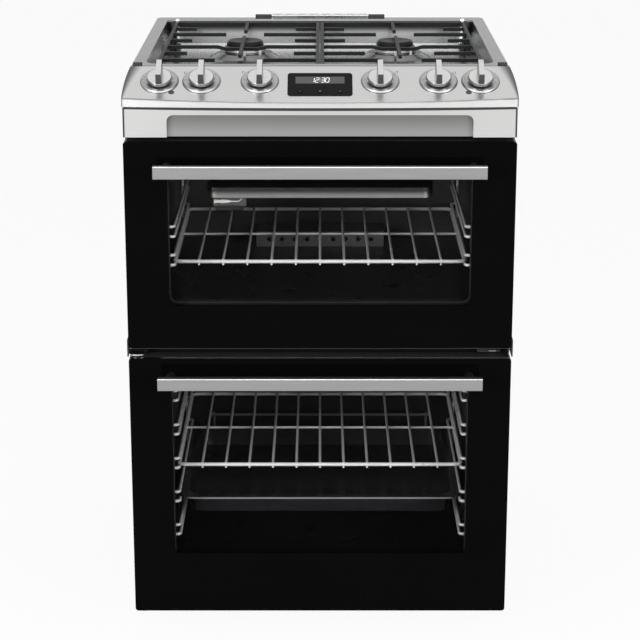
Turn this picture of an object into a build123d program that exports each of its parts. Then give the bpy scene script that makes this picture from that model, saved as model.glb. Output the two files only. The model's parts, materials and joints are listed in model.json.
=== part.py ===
"""Freestanding gas cooker with a gas hob, a drop-down upper oven door and a side-hung lower oven door.

Millimetres. +Z is up, the front faces -Y, and the origin is under the middle of the cooker's box.
"""

from build123d import *
import math
import os

# Casing
CASING_WIDTH = 596.0
BODY_DEPTH = 600.0          # door glass to the rear edge of the hob
BACK_RECESS = 26.0          # back panel set in from the rear edge of the hob
SHEET = 1.2                 # pressed steel sheet
FRAME_SHEET = 1.5           # front frame sheet
FLANGE = 14.0               # returns along the edges of a side panel
BASE_HEIGHT = 22.0          # floor to the bottom of the casing
TRAY_LIP = 20.0             # upstand around the base tray
FOOT_INSET_X = 43.0
FOOT_INSET_Y = 62.0
FOOT_RADIUS = 17.0
FOOT_STEM = 6.0
FOOT_EDGE = 1.0
FOOT_PAD = 5.0              # height of the wide part of a foot
FOOT_SHOULDER = 4.0

# Heights of the front, from the floor up
LOWER_DOOR_BOTTOM = 27.0
LOWER_DOOR_HEIGHT = 427.0
DOOR_GAP = 16.0
UPPER_DOOR_HEIGHT = 326.0
STRIP_GAP = 6.0
STRIP_HEIGHT = 47.0
LIP_HEIGHT = 13.0
FASCIA_DEPTH = 65.0
FASCIA_SLOPE = 30.0         # degrees from level
HOB_STEP = 0.5              # hob rim above the rear edge of the fascia

# Doors
DOOR_CLEARANCE = 0.5        # door edge inside the casing's side
DOOR_CORNER = 5.0
GLASS = 4.0
PAN_DEPTH = 30.0
SEAL_GAP = 6.0              # closed door to the front frame
WINDOW_INSET = 13.0         # oven wall to the side of the window
WINDOW_CORNER = 8.0
WINDOW_MARGIN = 7.0         # cavity edge beyond the window
INNER_GLASS_LAP = 24.0
PAN_LIP = 14.0              # return around the window in the door pan
HANDLE_REACH = 45.0
HANDLE_LENGTH = 500.0
HANDLE_HEIGHT = 20.0
HANDLE_THICKNESS = 13.0
HANDLE_EDGE = 2.0           # rounding of the bar
HANDLE_POST = 7.0           # post radius
HANDLE_POST_INSET = 18.0
HANDLE_DROP_UPPER = 39.0    # door top to the middle of the bar
HANDLE_DROP_LOWER = 29.5
PIVOT_FROM_GLASS = 20.0     # hinge axis behind the glass face
UPPER_PIVOT_RISE = 14.0     # above the bottom of the upper door
LOWER_PIVOT_INSET = 13.5    # from the left edge of the lower door
HINGE_ARM = 6.0             # thickness of an upper hinge arm
HINGE_ARM_HEIGHT = 12.0
HINGE_ARM_INSET = 13.5      # door edge to the middle of the arm
HINGE_SLOT_GAP = 1.0
HINGE_BLOCK = 28.0
UPPER_PIN = 3.0
LOWER_PIN = 4.0
PIN_CLEARANCE = 0.3
PIN_ENGAGEMENT = 14.0
HINGE_PLATE = 2.4
HINGE_PLATE_GAP = 1.4       # plate to the edge of the lower door
CAP_PROUD = 2.0
CAP_HEIGHT = 28.0
CAP_LENGTH = 70.0

# Ovens
CAVITY_SIDE = 53.0          # casing side to the oven wall
CAVITY_DEPTH = 420.0
CAVITY_CORNER = 12.0
LOWER_CAVITY_FLOOR = 73.0   # above the bottom of the lower door
LOWER_CAVITY_TOP = 34.0     # oven roof below the top of the lower door
UPPER_CAVITY_FLOOR = 62.0   # above the bottom of the upper door
UPPER_CAVITY_TOP = 46.0     # oven roof below the top of the upper door
SEAL_WIDTH = 8.0
SEAL_OFFSET = 4.0           # cavity edge to the seal
SEAL_CLEARANCE = 0.3
WIRE = 2.5                  # rack wire radius
STUD = 2.0                  # radius of the studs that hold a rack or guard to the wall
SHELF_WIRE = 3.0            # shelf frame radius
BAR_WIRE = 2.0              # shelf bar radius
RACK_STANDOFF = 7.0         # cavity wall to the rack uprights
RAIL_OFFSET = 10.0          # uprights to the rails
RACK_SETBACK = 24.0         # cavity mouth to the front upright
RACK_REAR = 40.0            # rear upright to the rear wall
RAIL_PAIR = 16.0            # runner to guard rail
RUN_CLEARANCE = 0.3
LOWER_LEVELS = 5
LOWER_LEVEL_START = 31.0    # cavity floor to the lowest runner
LOWER_LEVEL_TOP = 59.0      # cavity roof to the highest runner
UPPER_LEVELS = 2
UPPER_LEVEL_START = 53.0
UPPER_LEVEL_PITCH = 46.0
SHELF_SETBACK = 22.0        # cavity mouth to the front of a shelf
SHELF_REAR = 34.0           # back of a shelf to the rear wall
SHELF_BARS = 11             # bars between the two sides
TRAY_SETBACK = 26.0
TRAY_REAR = 44.0            # back of the tray to the rear wall
TRAY_WELL = 30.0
TRAY_RIM = 14.0
TRAY_CORNER = 26.0
GRILL_WIDTH = 350.0
GRILL_DEPTH = 210.0
GRILL_HEIGHT = 16.0
GRILL_HANG = 38.0           # cavity roof to the top of the grill burner
GRILL_SETBACK = 12.0
GRILL_SLOTS = 14
BURNER_TUBE = 8.0           # oven burner tube radius
BURNER_TUBE_LENGTH = 300.0
TUBE_SETBACK = 34.0         # rear wall to the burner tube
COVER_WIDTH_UPPER = 220.0
COVER_WIDTH_LOWER = 392.0
COVER_HEIGHT = 26.0
COVER_DEPTH = 70.0
COVER_HOLES = 9
COVER_HOLE = 4.0
GUARD_WIDTH = 392.0
GUARD_RISE = 77.0           # lower cavity floor to the first guard wire
GUARD_PITCH = 28.0
GUARD_STANDOFF = 14.0

# Fascia and controls
FASCIA_BOW = 10.0           # front of the fascia forward of its ends
FASCIA_TAPER = 9.0          # each end draws in towards the hob
FASCIA_SHEET = 1.5
STRIP_SETBACK = 3.0
STRIP_TOP_GAP = 2.0         # below the lip of the fascia
STRIP_TOP_FLANGE = 17.0
SCOOP_WIDTH = 462.0
SCOOP_HEIGHT = 34.0
SCOOP_DEPTH = 8.0
SCOOP_CORNER = 10.0
KNOB_OFFSETS = (91.0, 179.0, 242.5)
KNOB_UP_SLOPE = 40.0        # crease to the knob axes, along the slope
KNOB_RADIUS = 19.0
KNOB_LIFT = 4.6             # knob above the fascia
KNOB_DISC = 5.0
GRIP_LENGTH = 37.0
GRIP_WIDTH = 10.0
GRIP_HEIGHT = 18.0
GRIP_EDGE = 1.5
GRIP_TAPER = 3.0            # degrees
KNOB_PUSH = 4.0
BEZEL_RADIUS = 28.5
BEZEL_HEIGHT = 3.0
BEZEL_EDGE = 1.5
BEZEL_GAP = 1.0             # around the knob
SPINDLE = 4.0
SPINDLE_IN_KNOB = 11.0
SPINDLE_IN_TAP = 20.0
SPINDLE_CLEARANCE = 0.3
TAP_RADIUS = 11.0
TAP_TOP = 14.0              # below the fascia
TAP_LENGTH = 50.0
TAP_OUTLET = 5.0
TAP_OUTLET_RISE = 20.0      # outlet above the rail, along the tap
RAIL_SECTION = 18.0
RAIL_EDGE = 2.0
RAIL_END = 250.0
INLET_INSET = 16.0          # inlet pipe inside the end of the rail
INLET_PIPE = 8.0
INLET_CLEARANCE = 1.0       # hole in the back panel round the pipe
INLET_NUT = 6.0
INLET_THREAD = 10.48
INLET_THREAD_LENGTH = 18.0
PIPE = 4.0                  # feed pipe radius
PIPE_BEND = 14.0
DISPLAY_WIDTH = 98.0
DISPLAY_HEIGHT = 53.0
DISPLAY_UP_SLOPE = 32.0
DISPLAY_CORNER = 5.0
DISPLAY_PROUD = 0.8
DISPLAY_PLATE = 3.0
DISPLAY_LAP = 2.5           # window plate beyond its cut-out, over the fascia
HOUSING_DEPTH = 13.0
HOUSING_WIDTH = 112.0
HOUSING_HEIGHT = 44.0
BUTTON_RADIUS = 3.5
BUTTON_PITCH = 30.0
BUTTON_DROP = 17.5          # display middle to the buttons
BUTTON_PROUD = 1.2
BUTTON_TRAVEL = 1.0
BUTTON_CLEARANCE = 0.3

# Hob
RIM_WIDTH = 21.0
RIM_EDGE = 2.5              # rounding of the rim
HOB_SHEET = 1.2
HOB_CLEARANCE = 0.6         # hob well above the back panel
WELL_DEPTH = 42.0
WELL_TAPER = 10.0           # wall lean, degrees
WELL_CORNER = 26.0
HOB_CORNER = 12.0
FEED_GAP = 4.0              # feed pipe beside the cup that it passes
HEAD_GAP = 5.6              # front burner head inside the foot of the well wall
REAR_ROW = 171.0            # rear burners in front of the rear edge
MOUND_RISE = 7.0
MOUND_MARGIN = 10.0         # flat of the mound beyond the burner head
MOUND_SKIRT = 14.0
LARGE_HEAD = 58.0           # burner head radii
MEDIUM_HEAD = 36.0
SMALL_HEAD = 27.0
HEAD_HEIGHT = 10.0
HEAD_LIFT = 1.0             # head above the mound
HEAD_EDGE = 2.0
CAP_THICKNESS = 9.0
CAP_INSET = 5.0
CUP_INSET = 7.0             # cup inside the head radius
CUP_LIMIT = 28.0            # widest cup radius
CUP_WALL = 2.0
CUP_DEPTH = 28.0            # below the top of the mound
CUP_STUB = 5.0
CUP_STUB_REACH = 8.0
CUP_CLEARANCE = 0.3
PORT_WIDTH = 1.8
PORT_PITCH = 12.0           # round the rim of a head
ELECTRODE = 2.4
ELECTRODE_HEIGHT = 13.0
PROBE_ANGLE = 40.0          # probe from the electrode, degrees
SUPPORT_DROP = 3.0          # pan support tops below the rim
BAR_WIDTH = 5.5
BAR_HEIGHT = 5.5
SUPPORT_GAP = 2.0           # between the two supports' inner rails
SUPPORT_MARGIN = 10.0       # outer rail inside the foot of the well wall
SUPPORT_FRONT = 29.0        # behind the fascia
SUPPORT_REAR = 43.0         # in front of the rear edge
FINGER_GAP = 32.0           # finger tips from a burner's centre
WOK_FINGER_GAP = 38.0
SHORT_FINGER = 38.0
LONG_FINGER = 68.0          # the short fingers by the small burner
MIDDLE_DIP = 3.5
DIP_HALF = 26.0             # half of the level part of the dip
DIP_SLOPE = 14.0
SUPPORT_LIFT_CLEARANCE = 0.3
FLUE_WIDTH = 172.0
FLUE_HEIGHT = 7.0
FLUE_DEPTH = 18.0
FLUE_SLOTS = 8
FLUE_EDGE = 1.5
BUFFER_CORNER = 2.0
BUFFER_WIDTH = 28.0
FRONT_BUFFER_WIDTH = 14.0
FRONT_BUFFER_HEIGHT = 4.0

# Rear fittings
TERMINAL_WIDTH = 100.0
TERMINAL_HEIGHT = 70.0
TERMINAL_DEPTH = 22.0
TERMINAL_X = -150.0
TERMINAL_Z = 520.0
TERMINAL_CORNER = 6.0
TERMINAL_EDGE = 2.0
GLAND_RADIUS = 6.0
LOUVRES = 9
LOUVRE_LENGTH = 120.0
LOUVRE_WIDTH = 4.0
LOUVRE_PITCH = 12.0

# Places worked out from the sizes above
half_width = CASING_WIDTH / 2
glass_y = -(BODY_DEPTH - HANDLE_REACH) / 2
rear_y = glass_y + BODY_DEPTH
back_y = rear_y - BACK_RECESS
pan_back_y = glass_y + GLASS + PAN_DEPTH
door_back_y = pan_back_y + GLASS
frame_y = door_back_y + SEAL_GAP
frame_back_y = frame_y + FRAME_SHEET
mouth_y = frame_back_y + SHEET
upper_door_bottom = LOWER_DOOR_BOTTOM + LOWER_DOOR_HEIGHT + DOOR_GAP
upper_door_top = upper_door_bottom + UPPER_DOOR_HEIGHT
lower_door_top = LOWER_DOOR_BOTTOM + LOWER_DOOR_HEIGHT
strip_z = upper_door_top + STRIP_GAP
lip_z = strip_z + STRIP_HEIGHT
crease_z = lip_z + LIP_HEIGHT
slope = math.radians(FASCIA_SLOPE)
fascia_rear_y = glass_y + FASCIA_DEPTH
rim_z = crease_z + FASCIA_DEPTH * math.tan(slope) + HOB_STEP
well_z = rim_z - WELL_DEPTH
mound_z = well_z + MOUND_RISE
hob_half = half_width - FASCIA_TAPER
well_half = hob_half - RIM_WIDTH
well_front = fascia_rear_y + RIM_WIDTH
well_rear = rear_y - RIM_WIDTH
wall_lean = WELL_DEPTH * math.tan(math.radians(WELL_TAPER))
front_row_y = well_front + wall_lean + HEAD_GAP + LARGE_HEAD
rear_row_y = rear_y - REAR_ROW
burner_x = KNOB_OFFSETS[0] + PIPE + FEED_GAP + CUP_LIMIT
cavity_half = half_width - CAVITY_SIDE
lower_floor = LOWER_DOOR_BOTTOM + LOWER_CAVITY_FLOOR
upper_floor = upper_door_bottom + UPPER_CAVITY_FLOOR
lower_height = LOWER_DOOR_HEIGHT - LOWER_CAVITY_FLOOR - LOWER_CAVITY_TOP
upper_height = UPPER_DOOR_HEIGHT - UPPER_CAVITY_FLOOR - UPPER_CAVITY_TOP
lower_level_pitch = (lower_height - LOWER_LEVEL_START - LOWER_LEVEL_TOP) / (LOWER_LEVELS - 1)
shelf_level = LOWER_LEVELS // 2
tray_level = shelf_level - 1
cavity_rear = mouth_y + CAVITY_DEPTH
rack_length = CAVITY_DEPTH - RACK_SETBACK - RACK_REAR
shelf_depth = CAVITY_DEPTH - SHELF_SETBACK - SHELF_REAR
tray_depth = CAVITY_DEPTH - TRAY_SETBACK - TRAY_REAR
door_half = half_width - DOOR_CLEARANCE
rack_x = cavity_half - RACK_STANDOFF
rail_x = rack_x - RAIL_OFFSET
pivot_y = glass_y + PIVOT_FROM_GLASS
inlet_x = RAIL_END - INLET_INSET
pin_hole_upper = UPPER_PIN + PIN_CLEARANCE
pin_hole_lower = LOWER_PIN + PIN_CLEARANCE

# The sloped panel of the fascia: local x across, y up the slope, z out of the panel.
panel = Plane(
    origin=(0, glass_y, crease_z),
    x_dir=(1, 0, 0),
    z_dir=(0, -math.sin(slope), math.cos(slope)),
)


def block(x0, x1, y0, y1, z0, z1):
    """A box between two corners."""
    middle = Pos((x0 + x1) / 2, (y0 + y1) / 2, (z0 + z1) / 2)
    return middle * Box(abs(x1 - x0), abs(y1 - y0), abs(z1 - z0))


def upward_rod(radius, length):
    """A round bar that stands on the origin."""
    return Cylinder(radius, length, align=(Align.CENTER, Align.CENTER, Align.MIN))


def rod(start, end, radius):
    """A round bar between two points."""
    start = Vector(*start)
    run = Vector(*end) - start
    return Plane(origin=start, z_dir=run) * upward_rod(radius, run.length)


def upright_slab(width, height, corner, y0, y1, x, z):
    """A plate that stands in the XZ plane, with rounded corners, from y0 to y1."""
    upright = Plane(origin=(x, y0, z), x_dir=(1, 0, 0), z_dir=(0, 1, 0))
    return extrude(upright * RectangleRounded(width, height, corner), amount=y1 - y0)


def flat_slab(width, depth, corner, z0, z1, x, y):
    """A plate that lies in the XY plane, with rounded corners, from z0 to z1."""
    return extrude(Pos(x, y, z0) * RectangleRounded(width, depth, corner), amount=z1 - z0)


def both_sides(shape):
    """A piece on the right and its mirror image on the left."""
    return [shape, mirror(shape, about=Plane.YZ)]


def group(shapes):
    """Separate solids of one node."""
    solids = []
    for shape in shapes:
        solids.extend(shape.solids())
    return Compound(children=solids)


# Casing

def side_panel():
    """The right side panel: a sheet with returns along its four edges."""
    inner = half_width - SHEET
    lip = half_width - FLANGE
    sheet = block(inner, half_width, frame_y, fascia_rear_y, BASE_HEIGHT, lip_z)
    sheet += block(inner, half_width, fascia_rear_y, rear_y, BASE_HEIGHT, crease_z)
    rear_end = back_y - SHEET
    front = block(lip, inner, frame_back_y, frame_back_y + SHEET, BASE_HEIGHT, strip_z + FLANGE)
    rear = block(lip, inner, rear_end - SHEET, rear_end, BASE_HEIGHT, crease_z)
    top = block(lip, inner, fascia_rear_y, rear_end, crease_z - SHEET, crease_z)
    bottom = block(lip, inner, frame_back_y, rear_end, BASE_HEIGHT, BASE_HEIGHT + SHEET)
    return sheet + [front, rear, top, bottom]


def back_panel():
    """The back sheet with rows of louvres and the hole for the gas inlet."""
    inner = half_width - SHEET
    top = well_z - HOB_SHEET - HOB_CLEARANCE
    sheet = block(-inner, inner, back_y - SHEET, back_y, BASE_HEIGHT, top)
    upright = Plane(origin=(0, back_y, 0), x_dir=(1, 0, 0), z_dir=(0, 1, 0))
    cutter = extrude(upright * SlotOverall(LOUVRE_LENGTH, LOUVRE_WIDTH), amount=2 * SHEET, both=True)
    start = upper_floor + upper_height - LOUVRES * LOUVRE_PITCH
    for column in (-1, 1):
        for row in range(LOUVRES):
            sheet -= Pos(column * LOUVRE_LENGTH * 0.75, 0, start + row * LOUVRE_PITCH) * cutter
    z = rail_centre.Z
    hole = rod((inlet_x, back_y - 2 * SHEET, z), (inlet_x, back_y + SHEET, z), INLET_PIPE + INLET_CLEARANCE)
    return sheet - hole


def base_tray():
    """The bottom pan that closes the casing and carries the feet."""
    inner = half_width - SHEET
    front = frame_back_y + SHEET
    rear = back_y - 2 * SHEET
    floor = BASE_HEIGHT + SHEET
    top = floor + TRAY_LIP
    pan = block(-inner, inner, front, rear, floor, top)
    return pan - block(-inner + SHEET, inner - SHEET, front + SHEET, rear - SHEET, floor + SHEET, top + SHEET)


def levelling_feet():
    """Four screw-in feet under the base tray."""
    top = BASE_HEIGHT + SHEET
    shoulder = FOOT_PAD + FOOT_SHOULDER
    outline = Polyline(
        (0, 0), (FOOT_RADIUS - FOOT_EDGE, 0), (FOOT_RADIUS, FOOT_EDGE), (FOOT_RADIUS, FOOT_PAD),
        (FOOT_STEM + FOOT_SHOULDER, shoulder), (FOOT_STEM, shoulder), (FOOT_STEM, top), (0, top), close=True,
    )
    foot = revolve(Plane.XZ * make_face(outline), axis=Axis.Z)
    x = half_width - FOOT_INSET_X
    front = frame_y + FOOT_INSET_Y
    rear = back_y - FOOT_INSET_Y
    return group([Pos(sx * x, y, 0) * foot for sx in (-1, 1) for y in (front, rear)])


def cavity_outline(floor, height, grow):
    """The rounded section of an oven, grown evenly, as width, height, corner and middle height."""
    return 2 * (cavity_half + grow), height + 2 * grow, CAVITY_CORNER + grow, floor + height / 2


def front_frame():
    """The enamelled face of the casing, with the two oven mouths."""
    inner = half_width - SHEET
    face = block(-inner, inner, frame_y, frame_back_y, BASE_HEIGHT, strip_z + FLANGE)
    for floor, height in ovens:
        width, tall, corner, middle = cavity_outline(floor, height, 0)
        face -= upright_slab(width, tall, corner, frame_y - SHEET, frame_back_y + SHEET, 0, middle)
    return face


def cavity(floor, height):
    """An oven liner: a drawn box, open at the front, with a flange behind the front frame."""
    width, tall, corner, middle = cavity_outline(floor, height, 0)
    wide, high, outer_corner, middle = cavity_outline(floor, height, SHEET)
    inside = upright_slab(width, tall, corner, frame_back_y - SHEET, cavity_rear, 0, middle)
    inside = fillet(inside.faces().sort_by(Axis.Y)[-1].edges(), CAVITY_CORNER * 0.6)
    outside = upright_slab(wide, high, outer_corner, frame_back_y, cavity_rear + SHEET, 0, middle)
    outside = fillet(outside.faces().sort_by(Axis.Y)[-1].edges(), CAVITY_CORNER * 0.6 + SHEET)
    flange = upright_slab(
        width + 2 * FLANGE, tall + 2 * FLANGE, corner + FLANGE, frame_back_y, mouth_y, 0, middle)
    return outside + flange - inside


def door_seals():
    """A soft rib round each oven mouth, just clear of the closed door."""
    rings = []
    for floor, height in ovens:
        rib = []
        for grow in (SEAL_OFFSET + SEAL_WIDTH, SEAL_OFFSET):
            width, tall, corner, middle = cavity_outline(floor, height, grow)
            rib.append(upright_slab(width, tall, corner, door_back_y + SEAL_CLEARANCE, frame_y, 0, middle))
        ring = rib[0] - rib[1]
        rings.append(fillet(ring.faces().sort_by(Axis.Y)[0].edges(), SEAL_WIDTH * 0.3))
    return group(rings)


def hinge_caps():
    """Plastic covers on the casing beside the upper door's hinges."""
    z0 = lower_door_top + DOOR_CLEARANCE * 2
    y0 = glass_y + GLASS
    cap = block(half_width, half_width + CAP_PROUD, y0, y0 + CAP_LENGTH, z0, z0 + CAP_HEIGHT)
    cap = fillet(cap.faces().sort_by(Axis.X)[-1].edges(), CAP_PROUD * 0.7)
    return group(both_sides(cap))


def door_hinges():
    """Upper hinge arms with cross pins, and the lower door's two plates with upright pins."""
    pivot_z = upper_door_bottom + UPPER_PIVOT_RISE
    arm_x = door_half - HINGE_ARM_INSET
    low = arm_x - HINGE_ARM / 2
    high = arm_x + HINGE_ARM / 2
    arm = block(low, high, pivot_y, frame_y, pivot_z - HINGE_ARM_HEIGHT / 2, pivot_z + HINGE_ARM_HEIGHT / 2)
    arm += rod((low, pivot_y, pivot_z), (high, pivot_y, pivot_z), HINGE_ARM_HEIGHT / 2)
    arm += rod((low - HINGE_ARM, pivot_y, pivot_z), (high + HINGE_ARM * 0.7, pivot_y, pivot_z), UPPER_PIN)
    x = -door_half + LOWER_PIVOT_INSET
    plates = []
    for edge, outward in ((lower_door_top, 1), (LOWER_DOOR_BOTTOM, -1)):
        near = edge + outward * HINGE_PLATE_GAP
        far = near + outward * HINGE_PLATE
        middle = (near + far) / 2
        plate = block(x - LOWER_PIVOT_INSET, x + LOWER_PIVOT_INSET, pivot_y, frame_y, near, far)
        plate += Pos(x, pivot_y, middle) * Cylinder(LOWER_PIVOT_INSET, HINGE_PLATE)
        pin_end = edge - outward * PIN_ENGAGEMENT
        plates.append(plate + rod((x, pivot_y, near), (x, pivot_y, pin_end), LOWER_PIN))
    return group(both_sides(arm) + plates)


# Oven furniture

def level_heights(floor, start, pitch, count):
    """The heights of the runners of a rack."""
    return [floor + start + pitch * step for step in range(count)]


def side_rack(heights):
    """The right wire ladder of an oven: uprights, pairs of rails and studs to the wall."""
    front = mouth_y + RACK_SETBACK
    rear = front + rack_length
    bottom = heights[0] - RAIL_PAIR / 2
    top = heights[-1] + RAIL_PAIR * 1.5
    wires = []
    for y in (front, rear):
        wires.append(rod((rack_x, y, bottom), (rack_x, y, top), WIRE))
        for z in (bottom + WIRE, top - WIRE):
            wires.append(rod((rack_x, y, z), (cavity_half, y, z), STUD))
    for runner in heights:
        for z in (runner, runner + RAIL_PAIR):
            points = ((rack_x, front, z), (rail_x, front, z), (rail_x, rear, z), (rack_x, rear, z))
            path = FilletPolyline(*points, radius=WIRE * 2)
            section = Plane(origin=points[0], z_dir=(-1, 0, 0)) * Circle(WIRE)
            wires.append(sweep(section, path=path))
    return wires[0] + wires[1:]


def side_racks(floor, start, pitch, count):
    """Both wire ladders of an oven."""
    return group(both_sides(side_rack(level_heights(floor, start, pitch, count))))


def shelf(runner):
    """A wire shelf: a round frame, fine bars from front to back and a tie across the middle."""
    side_x = rail_x
    z = runner + WIRE + SHELF_WIRE + RUN_CLEARANCE
    front = mouth_y + SHELF_SETBACK + SHELF_WIRE
    rear = front + shelf_depth - 2 * SHELF_WIRE
    bend = SHELF_WIRE * 4
    outline = Pos(0, (front + rear) / 2, z) * RectangleRounded(2 * side_x, rear - front, bend).wire()
    section = Plane(origin=outline @ 0, z_dir=outline % 0) * Circle(SHELF_WIRE)
    wires = [sweep(section, path=outline)]
    pitch = 2 * side_x / (SHELF_BARS + 1)
    lift = SHELF_WIRE * 0.6
    for step in range(1, SHELF_BARS + 1):
        x = -side_x + pitch * step
        wires.append(rod((x, front, z + lift), (x, rear, z + lift), BAR_WIRE))
    middle = (front + rear) / 2
    wires.append(rod((-side_x, middle, z), (side_x, middle, z), BAR_WIRE))
    return wires[0] + wires[1:]


def roasting_tray():
    """A drawn tray with a rolled rim that runs on the rack."""
    runner = level_heights(lower_floor, LOWER_LEVEL_START, lower_level_pitch, LOWER_LEVELS)[tray_level]
    rim_bottom = runner + WIRE + RUN_CLEARANCE
    width = 2 * (rail_x + WIRE)
    middle = mouth_y + TRAY_SETBACK + tray_depth / 2
    inset = 2 * TRAY_RIM
    rim = flat_slab(width, tray_depth, TRAY_CORNER, rim_bottom, rim_bottom + 2 * SHEET, 0, middle)
    shell = []
    for skin in (0, SHEET):
        opening = Pos(0, middle, rim_bottom + 2 * SHEET) * RectangleRounded(
            width - inset - 2 * skin, tray_depth - inset - 2 * skin, TRAY_CORNER - skin)
        shell.append(extrude(opening, amount=-(TRAY_WELL - skin), taper=8))
    return rim + shell[0] - shell[1]


def grill_burner():
    """The slotted grill burner under the roof of the upper oven, on two hangers."""
    roof = upper_floor + upper_height
    top = roof - GRILL_HANG
    front = mouth_y + GRILL_SETBACK
    middle = front + GRILL_DEPTH / 2
    body = flat_slab(GRILL_WIDTH, GRILL_DEPTH, GRILL_HEIGHT, top - GRILL_HEIGHT, top, 0, middle)
    body -= flat_slab(
        GRILL_WIDTH - 2 * SHEET, GRILL_DEPTH - 2 * SHEET, GRILL_HEIGHT - SHEET,
        top - GRILL_HEIGHT + SHEET, top - SHEET, 0, middle)
    slot = extrude(SlotOverall(GRILL_DEPTH * 0.3, GRILL_HEIGHT * 0.4), amount=GRILL_HEIGHT * 0.6)
    pitch = GRILL_WIDTH * 0.9 / GRILL_SLOTS
    for step in range(GRILL_SLOTS):
        x = (step - (GRILL_SLOTS - 1) / 2) * pitch
        for side in (-1, 1):
            body -= Pos(x, middle + side * GRILL_DEPTH * 0.22, top - GRILL_HEIGHT) * Rot(0, 0, 90) * slot
    for side in (-1, 1):
        x = side * GRILL_WIDTH * 0.4
        body += block(x - SHEET, x + SHEET, middle - GRILL_HANG / 2, middle + GRILL_HANG / 2, top, roof)
    return body


def oven_burners():
    """A tube burner across the rear of each oven floor, on two feet."""
    tubes = []
    y = cavity_rear - TUBE_SETBACK
    for floor, wide in ((lower_floor, COVER_WIDTH_LOWER), (upper_floor, COVER_WIDTH_UPPER)):
        half = min(BURNER_TUBE_LENGTH, wide * 0.86) / 2
        z = floor + BURNER_TUBE + SHEET * 2
        tube = rod((-half, y, z), (half, y, z), BURNER_TUBE)
        for side in (-1, 1):
            x = side * half * 0.8
            tube += block(x - SHEET, x + SHEET, y - BURNER_TUBE, y + BURNER_TUBE, floor, z)
        tubes.append(tube)
    return group(tubes)


def burner_cover(floor, wide):
    """A folded cover over an oven burner, with a row of holes along its front."""
    front = cavity_rear - COVER_DEPTH
    half = wide / 2
    top = floor + COVER_HEIGHT
    rear = cavity_rear - CAVITY_CORNER
    cover = block(-half, half, front, rear, floor, top)
    cover -= block(-half + SHEET, half - SHEET, front + SHEET, rear + SHEET, floor - SHEET, top - SHEET)
    pitch = wide / (COVER_HOLES + 1)
    for step in range(1, COVER_HOLES + 1):
        x = -half + pitch * step
        z = floor + COVER_HEIGHT / 2
        cover -= rod((x, front - SHEET, z), (x, front + 2 * SHEET, z), COVER_HOLE)
    return cover


def rear_guard():
    """Two wires across the rear wall of the lower oven, on studs."""
    half = GUARD_WIDTH / 2
    y = cavity_rear - GUARD_STANDOFF
    low = lower_floor + GUARD_RISE
    high = low + GUARD_PITCH
    wires = [rod((-half, y, z), (half, y, z), WIRE) for z in (low, high)]
    for side in (-1, 1):
        x = side * (half - 2 * WIRE)
        wires.append(rod((x, y, low - 2 * WIRE), (x, y, high + 2 * WIRE), STUD))
        wires.append(rod((x, y, (low + high) / 2), (x, cavity_rear, (low + high) / 2), STUD * 0.8))
    return wires[0] + wires[1:]


def oven_burner_covers():
    """The covers of both oven burners and the guard in the lower oven."""
    lower = burner_cover(lower_floor, COVER_WIDTH_LOWER)
    upper = burner_cover(upper_floor, COVER_WIDTH_UPPER)
    return group([lower, upper, rear_guard()])


# Doors

def door_handle(middle_z):
    """A flat bar on two posts."""
    middle_y = glass_y - HANDLE_REACH + HANDLE_THICKNESS / 2
    end = Plane(origin=(-HANDLE_LENGTH / 2, middle_y, middle_z), x_dir=(0, 1, 0), z_dir=(1, 0, 0))
    section = RectangleRounded(HANDLE_THICKNESS, HANDLE_HEIGHT, HANDLE_EDGE)
    grip = extrude(end * section, amount=HANDLE_LENGTH)
    x = HANDLE_LENGTH / 2 - HANDLE_POST_INSET
    post = rod((x, middle_y, middle_z), (x, glass_y, middle_z), HANDLE_POST)
    return grip + both_sides(post)


def door_pane(bottom, height):
    """The outer glass of a door."""
    return upright_slab(2 * door_half, height, DOOR_CORNER, glass_y, glass_y + GLASS, 0, bottom + height / 2)


def window_outline(floor, height):
    """Width, height and middle height of a door's clear window, just inside the oven mouth."""
    return 2 * (cavity_half - WINDOW_INSET), height - 2 * WINDOW_MARGIN, floor + height / 2


def door_inner_glass(floor, height):
    """The inner pane, behind the door pan, over the window and the seal."""
    width, tall, corner, middle = cavity_outline(floor, height, INNER_GLASS_LAP)
    return upright_slab(width, tall, WINDOW_CORNER, pan_back_y, door_back_y, 0, middle)


def door_pan(bottom, height, floor, oven_height):
    """The pressed steel door pan: open towards the glass, with a lipped window."""
    middle = bottom + height / 2
    front = glass_y + GLASS
    pan = upright_slab(2 * door_half, height, DOOR_CORNER, front, pan_back_y, 0, middle)
    inside = 2 * (door_half - SHEET)
    pan -= upright_slab(
        inside, height - 2 * SHEET, DOOR_CORNER - SHEET, front - SHEET, pan_back_y - SHEET, 0, middle)
    width, tall, window = window_outline(floor, oven_height)
    lip = pan_back_y - PAN_LIP
    pan += upright_slab(
        width + 2 * SHEET, tall + 2 * SHEET, WINDOW_CORNER + SHEET, lip, pan_back_y, 0, window)
    return pan - upright_slab(width, tall, WINDOW_CORNER, lip - SHEET, pan_back_y + SHEET, 0, window)


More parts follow.
